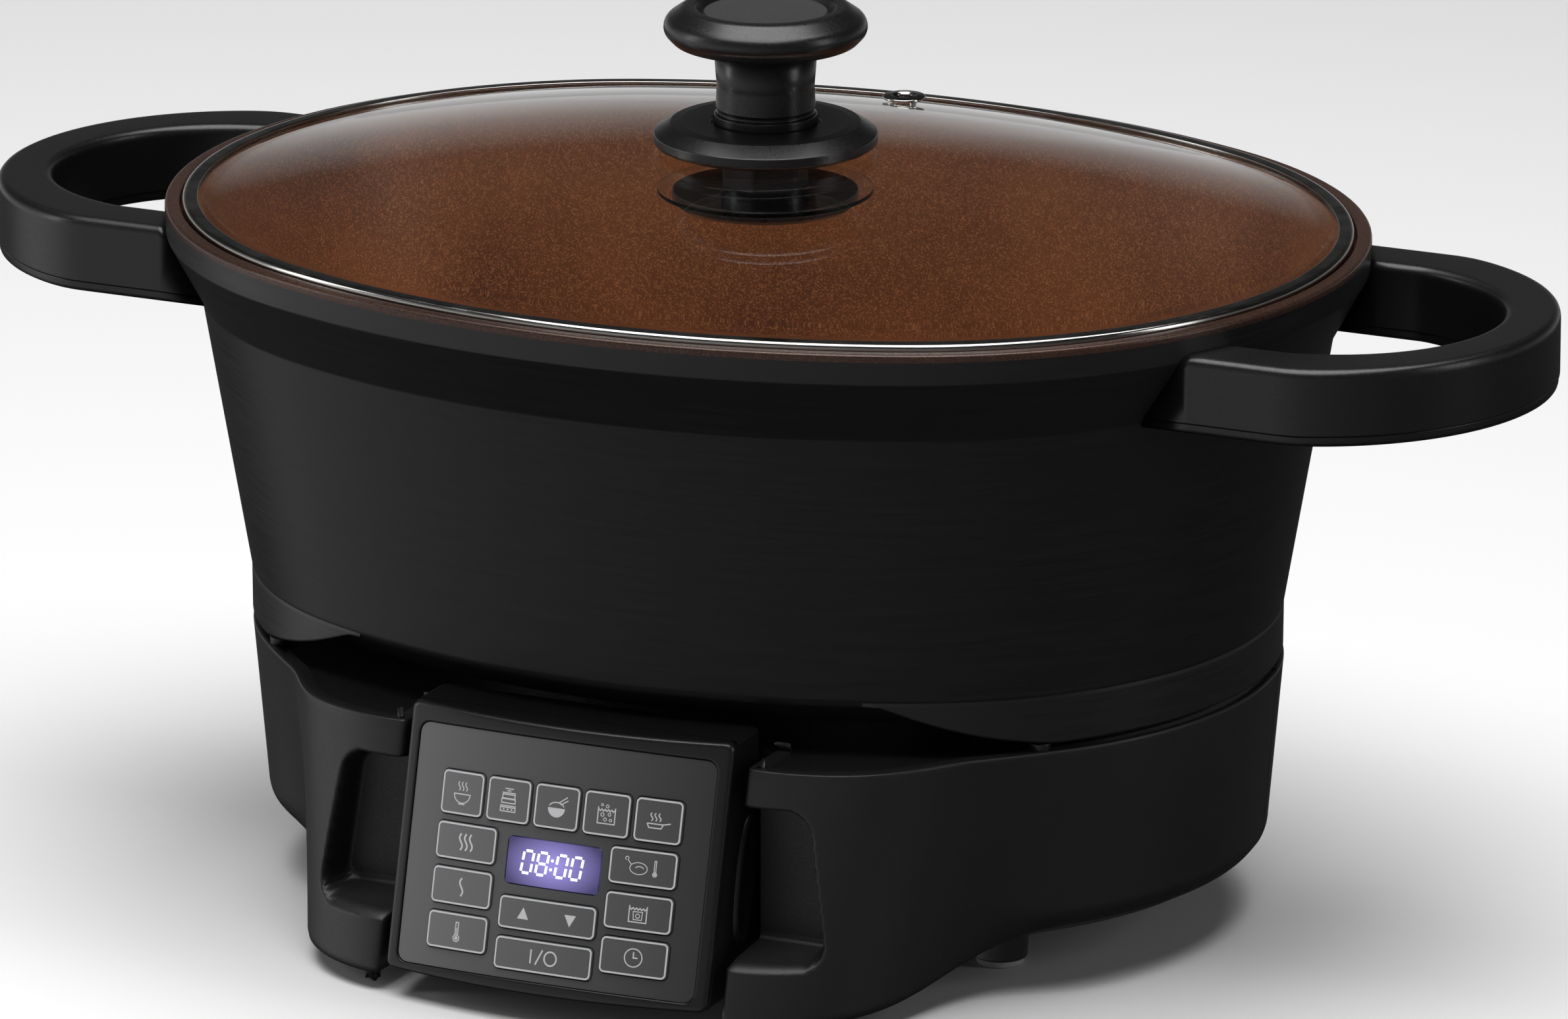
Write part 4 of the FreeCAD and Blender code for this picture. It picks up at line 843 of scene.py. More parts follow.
for side, word in ((1, "right"), (-1, "left")):
    cover = side_cover(word, side)
    print("base cover", word, len(cover.data.vertices), "points")

# %% [markdown]
# ### Rear cover, deck, floor and feet
#
# The rear cover carries the oval on from seam to seam, with a mouth for the supply inlet. The deck
# is a flat lid just inside the covers, open over the heating plate. The floor closes the base and
# stands on four rubber pads.

# %% Rear cover
SEAM_GAP = 0.35
inlet_low, inlet_high = size_of("power_inlet")


def rear_profile():
    rows = [(BASE_IN + COVER_WALL + 2.0, BASE_TOP), (BASE_IN + 0.9, BASE_TOP),
            (BASE_IN + 0.3, BASE_TOP - 0.09),
            (BASE_IN + 0.08, BASE_TOP - 0.35)]
    z = BASE_TOP - 0.9
    while z > FOOT_START + 0.5:
        rows.append((oval_inset(z), z))
        z -= 2.0
    for i in range(13):
        z = FOOT_START - FOOT_CURVE * math.sin(math.radians(i * 7.5))
        rows.append((oval_inset(z), z))
    rows += [(BASE_IN + 20, OVAL_FOOT)]
    return rows


steps = 180
rows = []
for inset, z in rear_profile():
    row = []
    radius = END_RADIUS - inset
    first = math.asin((SEAM_Y + SEAM_GAP) / radius)
    for i in range(steps + 1):
        angle = first + (math.pi - 2 * first) * i / steps
        row.append(oval_point(angle, inset, z))
    rows.append(row)
points, faces = join_rows(rows, around=False)
MOUTH = (inlet_high.x + 0.6, inlet_low.z + 14.0, inlet_high.z + 0.6)
kept = []
for face in faces:
    middle = sum((Vector(points[i]) for i in face), Vector()) / len(face)
    if not (abs(middle.x) < MOUTH[0] and MOUTH[1] < middle.z < MOUTH[2]):
        kept.append(face)
rear = new_piece("base_cover_rear", points, kept, grained_shell, "base", ["base_shell_rear"])
wall = rear.modifiers.new("wall", "SOLIDIFY")
wall.thickness, wall.offset = COVER_WALL * MM, 1
print("rear cover:", len(points), "points; mouth", [round(v, 1) for v in MOUTH])

# %% Deck and floor plates


def base_outline(level, inset, prow_z, oval_z, z):
    """The closed plan of the base at one height: both sides, the rear oval and the slot's back."""
    right = []
    edge = side_row(level, 0, prow_z, oval_z, places)
    inner = [p for p in side_row(level, inset, prow_z, oval_z, places)
             if min((p.x - q.x) ** 2 + (p.y - q.y) ** 2 for q in edge) > (0.97 * inset) ** 2]
    for spot in inner:
        front = AXIS_Y - PROW_TOP[3][1] * (1 - level) - PROW_LOW[3][1] * level
        if spot.x < SLOT + inset + 2.4 and spot.y < front + inset + 4:
            if right and right[-1][1] > front + inset + 3.9:
                right.append((SLOT + inset, front + inset + 0.2))
            continue
        right.append((max(spot.x, SLOT + inset), spot.y))
    wall = oval_inset(oval_z) + inset
    first = math.asin((right[-1][1] - AXIS_Y) / (END_RADIUS - wall))
    rear = [oval_point(first + (math.pi - 2 * first) * i / 90, wall)[:2] for i in range(1, 90)]
    return [(x, y, z) for x, y in right + rear + [(-x, y) for x, y in right[::-1]]]


def filled_plate(name, loops, thick, finish, stands_for, body="base"):
    """Fill the flat region between an outer loop and its holes, then give it a thickness downwards."""
    work = bmesh.new()
    edges = []
    for loop in loops:
        spots = [work.verts.new(Vector(p) * MM) for p in loop]
        edges += [work.edges.new((spots[i - 1], spots[i])) for i in range(len(spots))]
    bmesh.ops.triangle_fill(work, use_beauty=True, edges=edges)
    bmesh.ops.recalc_face_normals(work, faces=work.faces)
    if sum(f.normal.z for f in work.faces) < 0:
        bmesh.ops.reverse_faces(work, faces=work.faces)
    mesh = bpy.data.meshes.new(name)
    work.to_mesh(mesh)
    work.free()
    mesh.materials.append(finish)
    piece = bpy.data.objects.new(name, mesh)
    bpy.context.scene.collection.objects.link(piece)
    wall = piece.modifiers.new("wall", "SOLIDIFY")
    wall.thickness, wall.offset = thick * MM, -1
    edge = piece.modifiers.new("edge", "BEVEL")
    edge.width, edge.segments, edge.limit_method = 0.35 * MM, 2, "ANGLE"
    edge.harden_normals = True
    mesh.polygons.foreach_set("use_smooth", [True] * len(mesh.polygons))
    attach(piece, body)
    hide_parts(*stands_for)
    return piece


def plain_oval(half_length, half_width, z, steps=120):
    """A smooth oval hole about the middle of the base."""
    out = []
    for i in range(steps):
        angle = 2 * math.pi * i / steps
        across, along = math.cos(angle), math.sin(angle)
        out.append((half_length * math.copysign(abs(across) ** 0.86, across),
                    AXIS_Y + half_width * math.copysign(abs(along) ** 0.86, along), z))
    return out


deck_z = BASE_TOP - 0.7
PLATE_THICK, FLOOR_THICK = 2.4, 2.5
inner_edge = COVER_WALL + 0.1
floor_black = plain_moulding("floor_moulding", (0.015, 0.015, 0.015), 0.5)
deck_loops = [base_outline(0, inner_edge, BASE_TOP, BASE_TOP, deck_z), plain_oval(106, 78, deck_z)]
filled_plate("deck_plate", deck_loops, PLATE_THICK, smooth_deck, ["base_deck"])
row = [(x, AXIS_Y - SLOT_BACK + d) for x, d in ((-SLOT, 0), (SLOT, 0), (SLOT, PLATE_THICK),
                                                (-SLOT, PLATE_THICK))]
points, faces = join_rows([[(x, y, z) for x, y in row] for z in (OVAL_FOOT, deck_z - PLATE_THICK)])
faces += [(3, 2, 1, 0), (4, 5, 6, 7)]
wall = new_piece("slot_back_wall", points, faces, smooth_deck, "base")
edge = wall.modifiers.new("edge", "BEVEL")
edge.width, edge.segments = 0.5 * MM, 2
floor_high = size_of("base_floor")[1].z
share = (BASE_TOP - floor_high) / (BASE_TOP - PROW_FOOT)
floor_loop = base_outline(share, inner_edge, floor_high, OVAL_FOOT, floor_high)
filled_plate("floor_plate", [floor_loop], FLOOR_THICK, floor_black, ["base_floor"])
print("deck at %.1f mm, floor at %.1f mm" % (deck_z, floor_high))

# %% Rest pegs and feet
peg_line = END_RADIUS - 28.0
peg_profile = rounded([(0.05, deck_z - 1, 0), (3.0, deck_z - 1, 0), (3.0, SKIRT_FOOT, 0.5),
                       (0.05, SKIRT_FOOT, 0)], 4, loop=True)
for n, (sx, sy) in enumerate(((1, -1), (1, 1), (-1, -1), (-1, 1))):
    x = END_MIDDLE + peg_line * math.cos(math.radians(44))
    y = AXIS_Y + sy * peg_line * math.sin(math.radians(44))
    turned_piece("rest_peg_%d" % n, peg_profile, smooth_deck, (), centre=(sx * x, y),
                 body="base")
pad_low, pad_high = size_of("foot_pads")
pad_radius = 7.0
boss_profile = rounded([
    (0.05, 2.0, 0), (7.8, 2.0, 0.8), (8.8, OVAL_FOOT - 2, 2.0), (12.5, OVAL_FOOT + 0.6, 0),
    (0.05, OVAL_FOOT + 0.6, 0)],
    5, loop=True)
pad_profile = rounded([(0.05, 0.0, 0), (pad_radius, 0.0, 0.7), (pad_radius, 2.1, 0.2), (0.05, 2.1, 0)], 4,
                      loop=True)
foot_spots = [(sx * (pad_high.x - pad_radius), y)
              for y in (pad_low.y + pad_radius, pad_high.y - pad_radius) for sx in (1, -1)]
for n, spot in enumerate(foot_spots):
    turned_piece("foot_boss_%d" % n, boss_profile, floor_black, (), centre=spot, body="base")
    turned_piece("foot_pad_%d" % n, pad_profile, foot_rubber, ["foot_pads"], centre=spot,
                 body="base")
print("four feet", round(2 * (pad_high.x - pad_radius)), "mm apart")

# %% [markdown]
# ## Control module
#
# The module slides out of the prow. Its panel leans back and is gently bowed from left to right, so
# every piece on it is drawn flat, in millimetres across and up, and then bent onto the panel by one
# function. Rings of a rounded rectangle at several depths give each plate its soft edge.

# %% Panel map
bezel_low, bezel_high = size_of("module_bezel")
LEAN = math.radians(14.3)
BOW = 210.0
HALF_PANEL = bezel_high.x
half_tall = (bezel_high.z - bezel_low.z) / 2
PANEL_AT = Vector((0, bezel_low.y + half_tall * math.tan(LEAN), (bezel_low.z + bezel_high.z) / 2))
PANEL_UP = Vector((0, math.sin(LEAN), math.cos(LEAN)))
PANEL_IN = Vector((0, math.cos(LEAN), -math.sin(LEAN)))
PANEL_HALF_TALL = half_tall / math.cos(LEAN)


def on_panel(u, v, depth, flat=False, level=False):
    """Across and up the panel, and depth behind its bowed face.

    flat measures from the plane instead, and level keeps the height as the depth grows.
    """
    sag = 0.0 if flat else BOW - math.sqrt(BOW ** 2 - u ** 2)
    if level:
        v += (sag + depth) * math.tan(LEAN)
    return PANEL_AT + Vector((u, 0, 0)) + PANEL_UP * v + PANEL_IN * (sag + depth)


def half_ring(wide, tall, corner, steps=12, turns=5):
    """The upper half of a rounded rectangle, from left to right."""
    out = []
    for i in range(turns + 1):
        angle = math.pi - math.pi / 2 * i / turns
        out.append((-wide / 2 + corner + corner * math.cos(angle),
                    tall / 2 - corner + corner * math.sin(angle)))
    for i in range(1, steps):
        out.append((-wide / 2 + corner + (wide - 2 * corner) * i / steps, tall / 2))
    for i in range(turns + 1):
        angle = math.pi / 2 - math.pi / 2 * i / turns
        out.append((wide / 2 - corner + corner * math.cos(angle),
                    tall / 2 - corner + corner * math.sin(angle)))
    return out


def full_ring(wide, tall, corner, steps=12):
    top = half_ring(wide, tall, corner, steps)
    return top + [(u, -v) for u, v in top[::-1]]


def bowed_block(centre, wide, tall, corner, rings, steps=12):
    """A plate on the panel; rings are (inset, depth) from its back to its front face."""
    rows = []
    for inset, depth in rings:
        ring = full_ring(wide - 2 * inset, tall - 2 * inset, max(corner - inset, 0.12), steps)
        rows.append([on_panel(centre[0] + u, centre[1] + v, depth) for u, v in ring])
    points, faces = join_rows(rows)
    count = len(rows[0])
    half = count // 2
    for base, flip in ((len(points) - count, False), (0, True)):
        for i in range(half - 1):
            quad = (base + i, base + i + 1, base + count - 2 - i, base + count - 1 - i)
            faces.append(quad[::-1] if flip else quad)
    return points, faces


print("panel %.0f x %.0f mm, leaning %.1f degrees" % (2 * HALF_PANEL, 2 * PANEL_HALF_TALL,
                                                      math.degrees(LEAN)))

# %% [markdown]
# ### Bezel, panel skin and housing
#
# The bezel is an open frame: its rings run from the back edge, around the rounded front and down
# into the step that holds the skin. The skin is one thin sheet, cut with a rounded window for each
# key by a boolean, because fourteen clean cuts are easier to make at once than to draw.

# %% Bezel and housing
SKIN_WIDE, SKIN_TALL, SKIN_CORNER = 94.4, 69.6, 3.2
SKIN_DEPTH = 0.5
rows = []
for inset, depth, flat in ((0.5, 9.5, True), (0.0, 9.2, True), (0.0, 1.3, False), (0.12, 0.75, False),
                           (0.4, 0.3, False),
                           (0.8, 0.08, False), (1.5, 0.0, False)):
    ring = full_ring(2 * (HALF_PANEL - inset), 2 * (PANEL_HALF_TALL - inset), max(2.4 - inset, 0.5), 28)
    rows.append([on_panel(u, v, depth, flat, True) for u, v in ring])
for inset, depth in ((-0.9, 0.0), (-0.35, 0.06), (-0.1, 0.3), (-0.05, 1.6)):
    ring = full_ring(SKIN_WIDE - 2 * inset, SKIN_TALL - 2 * inset, SKIN_CORNER - inset, 28)
    rows.append([on_panel(u, v, depth) for u, v in ring])
points, faces = join_rows(rows)
bezel = new_piece("module_frame", points, faces, module_black, "control_module",
                  ["module_bezel"])
even_shading(outward(bezel))

HOUSING_BACK = size_of("module_housing")[1].y
CASE_START, CASE_CORNER = 9.4, 3
low_z, high_z = bezel_low.z, bezel_high.z


def housing_row(z, inset):
    """The housing's plan at one height, its front following the leaning frame."""
    front = PANEL_AT.y + (CASE_START + (z - PANEL_AT.z) * math.sin(LEAN)) / math.cos(LEAN)
    half = HALF_PANEL - 0.25 - inset
    back = HOUSING_BACK - inset
    row = [(-half, front, z)]
    for cx, first in ((-half + CASE_CORNER, 180), (half - CASE_CORNER, 90)):
        for i in range(7):
            angle = math.radians(first - 15 * i)
            row.append((cx + CASE_CORNER * math.cos(angle),
                        back - CASE_CORNER + CASE_CORNER * math.sin(angle), z))
    row.append((half, front, z))
    return row


rows = [housing_row(low_z + rise, inset)
        for rise, inset in ((2, 8.0), (0, 8.0), (0, 1.4), (0.2, 0.6), (0.6, 0.2), (1.4, 0))]
rows += [housing_row(low_z + 1.4 + (high_z - low_z - 2.8) * i / 8, 0) for i in range(1, 9)]
rows += [housing_row(high_z - drop, inset) for drop, inset in ((0.6, 0.2), (0.2, 0.6), (0, 1.4), (0, 8.0))]
points, faces = join_rows(rows, around=False)
last = len(points) - len(rows[0])
faces += [tuple(range(last, len(points))), tuple(range(len(rows[0])))[::-1]]
housing = new_piece("module_case", points, faces, module_black, "control_module",
                    ["module_housing"])
even_shading(outward(housing))
print("module case reaches back to", round(HOUSING_BACK, 1), "mm")

# %% Side grips on the case
GRIP_AHEAD, GRIP_Z, GRIP_STEPS = 121.5, 41, 48


def grip_ring(inset, out, side):
    """A long oval swelling on the case's side, where the fingertips hold."""
    row = []
    for i in range(GRIP_STEPS):
        angle = 2 * math.pi * i / GRIP_STEPS
        y = AXIS_Y - GRIP_AHEAD + (6.2 - inset) * math.cos(angle)
        z = GRIP_Z + (19.0 - inset) * math.copysign(abs(math.sin(angle)) ** 0.8, math.sin(angle))
        row.append((side * (HALF_PANEL - 0.3 + out), y + (z - GRIP_Z) * 0.2, z))
    return row


for side, word in ((1, "right"), (-1, "left")):
    rows = [grip_ring(inset, out, side)
            for inset, out in ((0, 0), (0.4, 0.9), (1.0, 1.25), (2.2, 1.1), (4.2, 0.7), (5.6, 0.6))]
    points, faces = join_rows(rows)
    faces.append(tuple(range(len(points) - GRIP_STEPS, len(points))))
    outward(new_piece("case_grip_" + word, points, faces, module_black, "control_module"))
print("side grips added")

# %% Panel skin and key places
PITCH = 15.53
KEY_SPOTS = {name: (-30.2 + PITCH * i, 15.9, 14.2, 12.7) for i, name in enumerate(
    ("key_slow_cook", "key_steam", "key_rice", "key_water_bath", "key_sear"))}
for column, names in ((-27.3, ("key_high", "key_low", "key_keep_warm")),
                      (28.8, ("key_roast", "key_bag_cook", "key_timer"))):
    for i, name in enumerate(names):
        KEY_SPOTS[name] = (column, 2.05 - 12.9 * i, 20.2, 10.7)
KEY_SPOTS["key_adjust"] = (1.2, -15.7, 30.8, 9.5)
KEY_SPOTS["key_power"] = (1.2, -27.4, 30.8, 9.5)
DISPLAY_SPOT = (1.2, -0.8, 29.4, 13.4)

panel_skin = new_finish("panel_skin", (0.07, 0.07, 0.073), 0.33, Coat_Weight=0.35, Coat_Roughness=0.12)
# painted shade: the skin's colour runs from lighter at the left edge to darker at the right, standing in for
# light falling from the left
across = add(panel_skin, "SeparateXYZ", Vector=place(panel_skin)).outputs["X"]
painted_shade = spread(panel_skin, across, 0, 1, -HALF_PANEL * MM, HALF_PANEL * MM)
feed(panel_skin, "Base Color", blend_colours(panel_skin, painted_shade, (0.105, 0.105, 0.108),
                                             (0.022, 0.022, 0.023)))
emboss(panel_skin, grain(panel_skin, 0.35), 0.006)

points, faces = bowed_block((0, 0), SKIN_WIDE - 0.1, SKIN_TALL - 0.1, SKIN_CORNER,
                            [(0, SKIN_DEPTH + 1), (0, SKIN_DEPTH + 0.12), (0.12, SKIN_DEPTH)], 40)
skin = new_piece("panel_skin_sheet", points, faces, panel_skin, "control_module",
                 ["key_overlay"])
outward(skin)
cut_points, cut_faces = [], []
for spot in list(KEY_SPOTS.values()) + [DISPLAY_SPOT]:
    points, faces = bowed_block(spot[:2], spot[2] + 0.6, spot[3] + 0.6, 1.9, [(0, 4), (0, -3)], 10)
    offset = len(cut_points)
    cut_points += points
    cut_faces += [tuple(i + offset for i in face) for face in faces]
cutter_mesh = bpy.data.meshes.new("window_cutter")
cutter_mesh.from_pydata([Vector(p) * MM for p in cut_points], [], cut_faces)
cutter = outward(bpy.data.objects.new("window_cutter", cutter_mesh))
bpy.context.scene.collection.objects.link(cutter)
cut = skin.modifiers.new("windows", "BOOLEAN")
cut.object, cut.operation, cut.solver = cutter, "DIFFERENCE", "EXACT"
cut_mesh = bpy.data.meshes.new_from_object(skin.evaluated_get(bpy.context.evaluated_depsgraph_get()))
skin.modifiers.clear()
skin.data = cut_mesh
bpy.data.objects.remove(cutter)
cut_mesh.polygons.foreach_set("use_smooth", [True] * len(cut_mesh.polygons))
cut_mesh.set_sharp_from_angle(angle=math.radians(30))
print("panel skin:", len(cut_mesh.polygons), "faces after", len(KEY_SPOTS) + 1, "windows")

# %% [markdown]
# ### Keys and their printed signs
#
# Each key is a slightly raised rounded plate with a printed silver border and a small sign. A sign
# is drawn with strokes on a flat grid and laid onto the bowed face as thin ribbons. The signs are
# plain kitchen pictures: a steaming bowl, a stacked steamer, a rice bowl, a bubbling bath, a pan.

# %% Drawing helpers
PRINT_LIFT = 0.035
STROKE = 0.34


def arc(cx, cy, rx, ry, first, last, steps=14):
    return [(cx + rx * math.cos(math.radians(first + (last - first) * i / steps)),
             cy + ry * math.sin(math.radians(first + (last - first) * i / steps))) for i in range(steps + 1)]


def wave(x, low, high, swing=0.35, bends=1.0):
    """An upright curl of steam."""
    return [(x + swing * math.sin(2 * math.pi * bends * i / 12),
             low + (high - low) * i / 12) for i in range(13)]


def ring_shape(cx, cy, radius, steps=16):
    return arc(cx, cy, radius, radius, 0, 360 - 360 / steps, steps - 1)


def ribbon(line, wide, closed=False):
    """Two edges of a stroke of this width along a line."""
    count = len(line)
    left, right = [], []
    for i in range(count):
        here = Vector(line[i])
        back = Vector(line[i - 1]) if i or closed else None
        ahead = Vector(line[(i + 1) % count]) if i < count - 1 or closed else None
        before = (here - back).normalized() if back is not None else None
        after = (ahead - here).normalized() if ahead is not None else None
        before, after = before or after, after or before
        bisect = before + after
        bisect = bisect.normalized() if bisect.length > 0.01 else before
        normal = Vector((-bisect.y, bisect.x))
        reach = wide / 2 / max(0.45, normal.dot(Vector((-after.y, after.x))))
        left.append(here + normal * reach)
        right.append(here - normal * reach)
    return left, right


def print_marks(strokes, fills, centre, depth):
    """Ribbons and filled shapes laid on the panel, as points and faces."""
    points, faces = [], []
    for line, wide, closed in strokes:
        left, right = ribbon(line, wide, closed)
        base, count = len(points), len(line)
        points += [on_panel(centre[0] + p.x, centre[1] + p.y, depth) for p in left + right]
        for i in range(count if closed else count - 1):
            k = (i + 1) % count
            faces.append((base + i, base + count + i, base + count + k, base + k))
    for shape in fills:
        base = len(points)
        points += [on_panel(centre[0] + x, centre[1] + y, depth) for x, y in shape]
        faces.append(tuple(range(base, base + len(shape))))
    return points, faces


def open_lines(*lines, wide=STROKE):
    return [(line, wide, False) for line in lines]


def closed_lines(*lines, wide=STROKE):
    return [(line, wide, True) for line in lines]


# %% The signs
bowl = arc(0, -0.3, 2.7, 2.6, 180, 360)
thermometer = [(-0.45, -0.9), (-0.45, 2.7), (0.45, 2.7), (0.45, -0.9)]
box_line = [(-2.6, 2.0), (-2.6, -2.7), (2.6, -2.7), (2.6, 2.0)]
water = [(-2.5 + 0.5 * i, 1.1 + 0.28 * (-1) ** i) for i in range(11)]


SIGNS = {
    "key_slow_cook": (closed_lines(bowl) + open_lines([(-1.1, -3.2), (1.1, -3.2)], wave(-1.2, 0.7, 3.2),
                                                      wave(0, 0.7, 3.2), wave(1.2, 0.7, 3.2)), []),
    "key_steam": (closed_lines(*[[(-w, y), (w, y), (w, y + 1.15), (-w, y + 1.15)] for w,
                                 y in ((2.0, 0.5), (2.2, -0.8), (2.4, -3.2))])
                  + open_lines([(-2.6, -1.6), (2.6, -1.6)], [(-2.2, 2.1), (2.2, 2.1)],
                               [(-0.6, 2.7), (0.6, 2.7)], [(-1.4, 3.3), (1.4, 3.3)]),
                  [ring_shape(-1.3, -2.6, 0.28, 10), ring_shape(0, -2.6, 0.28, 10),
                   ring_shape(1.3, -2.6, 0.28, 10)]),
    "key_rice": (open_lines(arc(0, 0.1, 2.3, 1.3, 8, 172), [(0.4, 1.2), (3.2, 3.2)],
                            [(1.2, 0.8), (3.5, 2.3)]), [arc(0, -0.2, 2.7, 2.7, 180, 360)]),
    "key_water_bath": (open_lines(box_line, water) + closed_lines(ring_shape(-1.2, -0.2, 0.5),
                                                                  ring_shape(0.9, 0.0, 0.42),
                                                                  ring_shape(-0.3, -1.5, 0.45),
                       ring_shape(1.4, -1.6, 0.36), ring_shape(0.1, 2.3, 0.42), ring_shape(-1.5, 2.6, 0.3),
                       wide=0.24), []),
    "key_sear": (open_lines([(-3.2, -0.9), (-2.6, -2.1), (1.0, -2.1), (1.6, -0.9), (3.7, -0.4)],
                            [(-3.2, -0.9), (1.6, -0.9)],
                 wave(-2.0, -0.1, 2.2), wave(-0.8, -0.1, 2.2), wave(0.4, -0.1, 2.2)), []),
    "key_high": (open_lines(*[wave(x, -2.4, 2.4, 0.55) for x in (-1.7, 0, 1.7)], wide=0.55), []),
    "key_low": (open_lines(wave(0, -2.6, 2.6, 0.6), wide=0.55), []),
    "key_keep_warm": (open_lines(thermometer) + closed_lines(ring_shape(0, -1.8, 1.0)),
                      [ring_shape(0, -1.8, 0.6), [(-0.14, -1.6), (0.14, -1.6), (0.14, 1.2), (-0.14, 1.2)]]),
    "key_roast": (closed_lines(arc(-1.2, -0.3, 2.6, 1.7, 0, 345, 20), ring_shape(3.7, -1.5, 0.6), wide=0.26)
                  + open_lines([(-3.4, 0.6), (-4.6, 2.0)], arc(-4.8, 2.3, 0.5, 0.5, -60, 250, 10),
                               [(3.45, -0.9), (3.45, 2.4), (3.95, 2.4), (3.95, -0.9)],
                               arc(-0.9, -0.5, 1.3, 0.8, 20, 160, 8), wide=0.26),
                               [ring_shape(3.7, -1.5, 0.4)]),
    "key_bag_cook": (open_lines(box_line, water) + closed_lines([(-1.2, -2.0), (1.2, -2.0), (1.4, 0.3),
                                                                 (-1.4, 0.3)], ring_shape(0, -0.9, 0.6),
                                                                 wide=0.26), []),
    "key_timer": (closed_lines(ring_shape(0, 0, 2.6, 28)) + open_lines([(0, 1.7), (0, 0), (1.3, 0)],
        wide=0.38), []),
    "key_adjust": ([], [[(-9.2, -1.5), (-5.6, -1.5), (-7.4, 1.9)], [(5.6, 1.5), (7.4, -1.9), (9.2, 1.5)]]),
    "key_power": (open_lines([(-3.6, -2.0), (-3.6, 2.0)], [(-2.0, -2.2), (0.0, 2.2)],
                             wide=0.48) + closed_lines(arc(2.6, 0, 1.9, 2.0, 0, 340, 17), wide=0.48), []),
}
print("signs drawn:", len(SIGNS))

# %% Keys
key_face = new_finish("key_face", (0.085, 0.085, 0.088), 0.36, Coat_Weight=0.2, Coat_Roughness=0.2)
# painted shade: the key faces run from lighter on the left of the panel to darker on the right, standing in
# for light falling from the left
across = add(key_face, "SeparateXYZ", Vector=place(key_face)).outputs["X"]
painted_shade = spread(key_face, across, 0, 1, -HALF_PANEL * MM, HALF_PANEL * MM)
feed(key_face, "Base Color", blend_colours(key_face, painted_shade, (0.15, 0.15, 0.155), (0.05, 0.05, 0.052)))
emboss(key_face, grain(key_face, 0.35), 0.006)
silver_print = plain_moulding("silver_print", (0.62, 0.62, 0.63), 0.38, size=0.3)

KEY_CORNER, KEY_FACE, KEY_BACK = 1.5, -0.2, 2.2
for name, spot in KEY_SPOTS.items():
    centre, wide, tall = spot[:2], spot[2], spot[3]
    points, faces = bowed_block(centre, wide, tall, KEY_CORNER,
                                [(0.15, KEY_BACK), (0, KEY_BACK - 0.3), (0, KEY_FACE + 0.45),
                                 (0.12, KEY_FACE + 0.15),
                                (0.4, KEY_FACE + 0.03), (1.3, KEY_FACE), (2.2, KEY_FACE + 0.02)], 12)
    marks = [0] * len(faces)
    strokes, fills = SIGNS[name]
    border = [(u, v) for u, v in full_ring(wide - 0.9, tall - 0.9, KEY_CORNER - 0.3, 12)]
    extra, extra_faces = print_marks(strokes + closed_lines(border, wide=0.5), fills, centre,
                                     KEY_FACE - PRINT_LIFT)
    marks += [1] * len(extra_faces)
    faces += [tuple(i + len(points) for i in face) for face in extra_faces]
    points = list(points) + extra
    new_piece(name + "_cap", points, faces, [key_face, silver_print], name[4:] + "_key",
              [name], marks, sharp=35)
print("keys:", len(KEY_SPOTS))

# %% [markdown]
# ### Display
#
# The display is a smoked lens that glows violet blue from behind, brightest in the middle, with
# four white figures made of seven short bars each. The glow is emission that fades towards the
# lens's edge with the distance from its middle, read from object coordinates.

# %% Display lens and figures
glow = new_finish("display_glow", (0.03, 0.025, 0.06), 0.12, Coat_Weight=0.6, Coat_Roughness=0.05)
middle = on_panel(DISPLAY_SPOT[0], DISPLAY_SPOT[1], SKIN_DEPTH) * MM
centred = add(glow, "VectorMath", Vector=add(glow, "TexCoord").outputs["Object"])
centred.operation = "SUBTRACT"
centred.inputs[1].default_value = middle
squeezed = add(glow, "VectorMath", Vector=centred.outputs["Vector"])
squeezed.operation = "MULTIPLY"
squeezed.inputs[1].default_value = (1.0, 1.0, 1.7)
reach = add(glow, "VectorMath", Vector=squeezed.outputs["Vector"])
reach.operation = "LENGTH"
fade = spread(glow, reach.outputs["Value"], 1.0, 0.0, 0.002, 0.0165)
feed(glow, "Emission Color", blend_colours(glow, fade, (0.035, 0.03, 0.12), (0.42, 0.36, 0.95)))
glow.node_tree.nodes["Principled BSDF"].inputs["Emission Strength"].default_value = 0.75
figure_white = new_finish("figure_white", (0.9, 0.9, 0.95), 0.4, Emission_Color=(0.93, 0.92, 1.0, 1),
                          Emission_Strength=1.6)
hairline = add(figure_white, "TexNoise", Vector=place(figure_white), Scale=1500.0)
feed(figure_white, "Roughness", spread(figure_white, hairline.outputs["Fac"], 0.35, 0.5))

SEGMENTS = {"0": "abcdef", "8": "abcdefg"}
BARS = {"a": ((0, 1), (1, 1)), "b": ((1, 0.5), (1, 1)), "c": ((1, 0), (1, 0.5)), "d": ((0, 0), (1, 0)),
        "e": ((0, 0), (0, 0.5)),
        "f": ((0, 0.5), (0, 1)), "g": ((0, 0.5), (1, 0.5))}
FIGURE_WIDE, FIGURE_TALL, BAR_THICK, SLANT = 3.1, 6.4, 0.72, 0.12
strokes, fills = [], []
for figure, left in zip("0800", (-9.6, -4.9, 1.2, 5.9)):
    for bar in SEGMENTS[figure]:
        (x0, y0), (x1, y1) = BARS[bar]
        ends = []
        for x, y, ox, oy in ((x0, y0, x1, y1), (x1, y1, x0, y0)):
            px, py = x * FIGURE_WIDE + (ox - x) * 0.5, (y - 0.5) * FIGURE_TALL + (oy - y) * 0.9
            ends.append((left + px + py * SLANT, py))
        strokes.append((ends, BAR_THICK, False))
for y in (-1.3, 1.3):
    fills.append(ring_shape(-0.35 + y * SLANT, y, 0.42, 12))
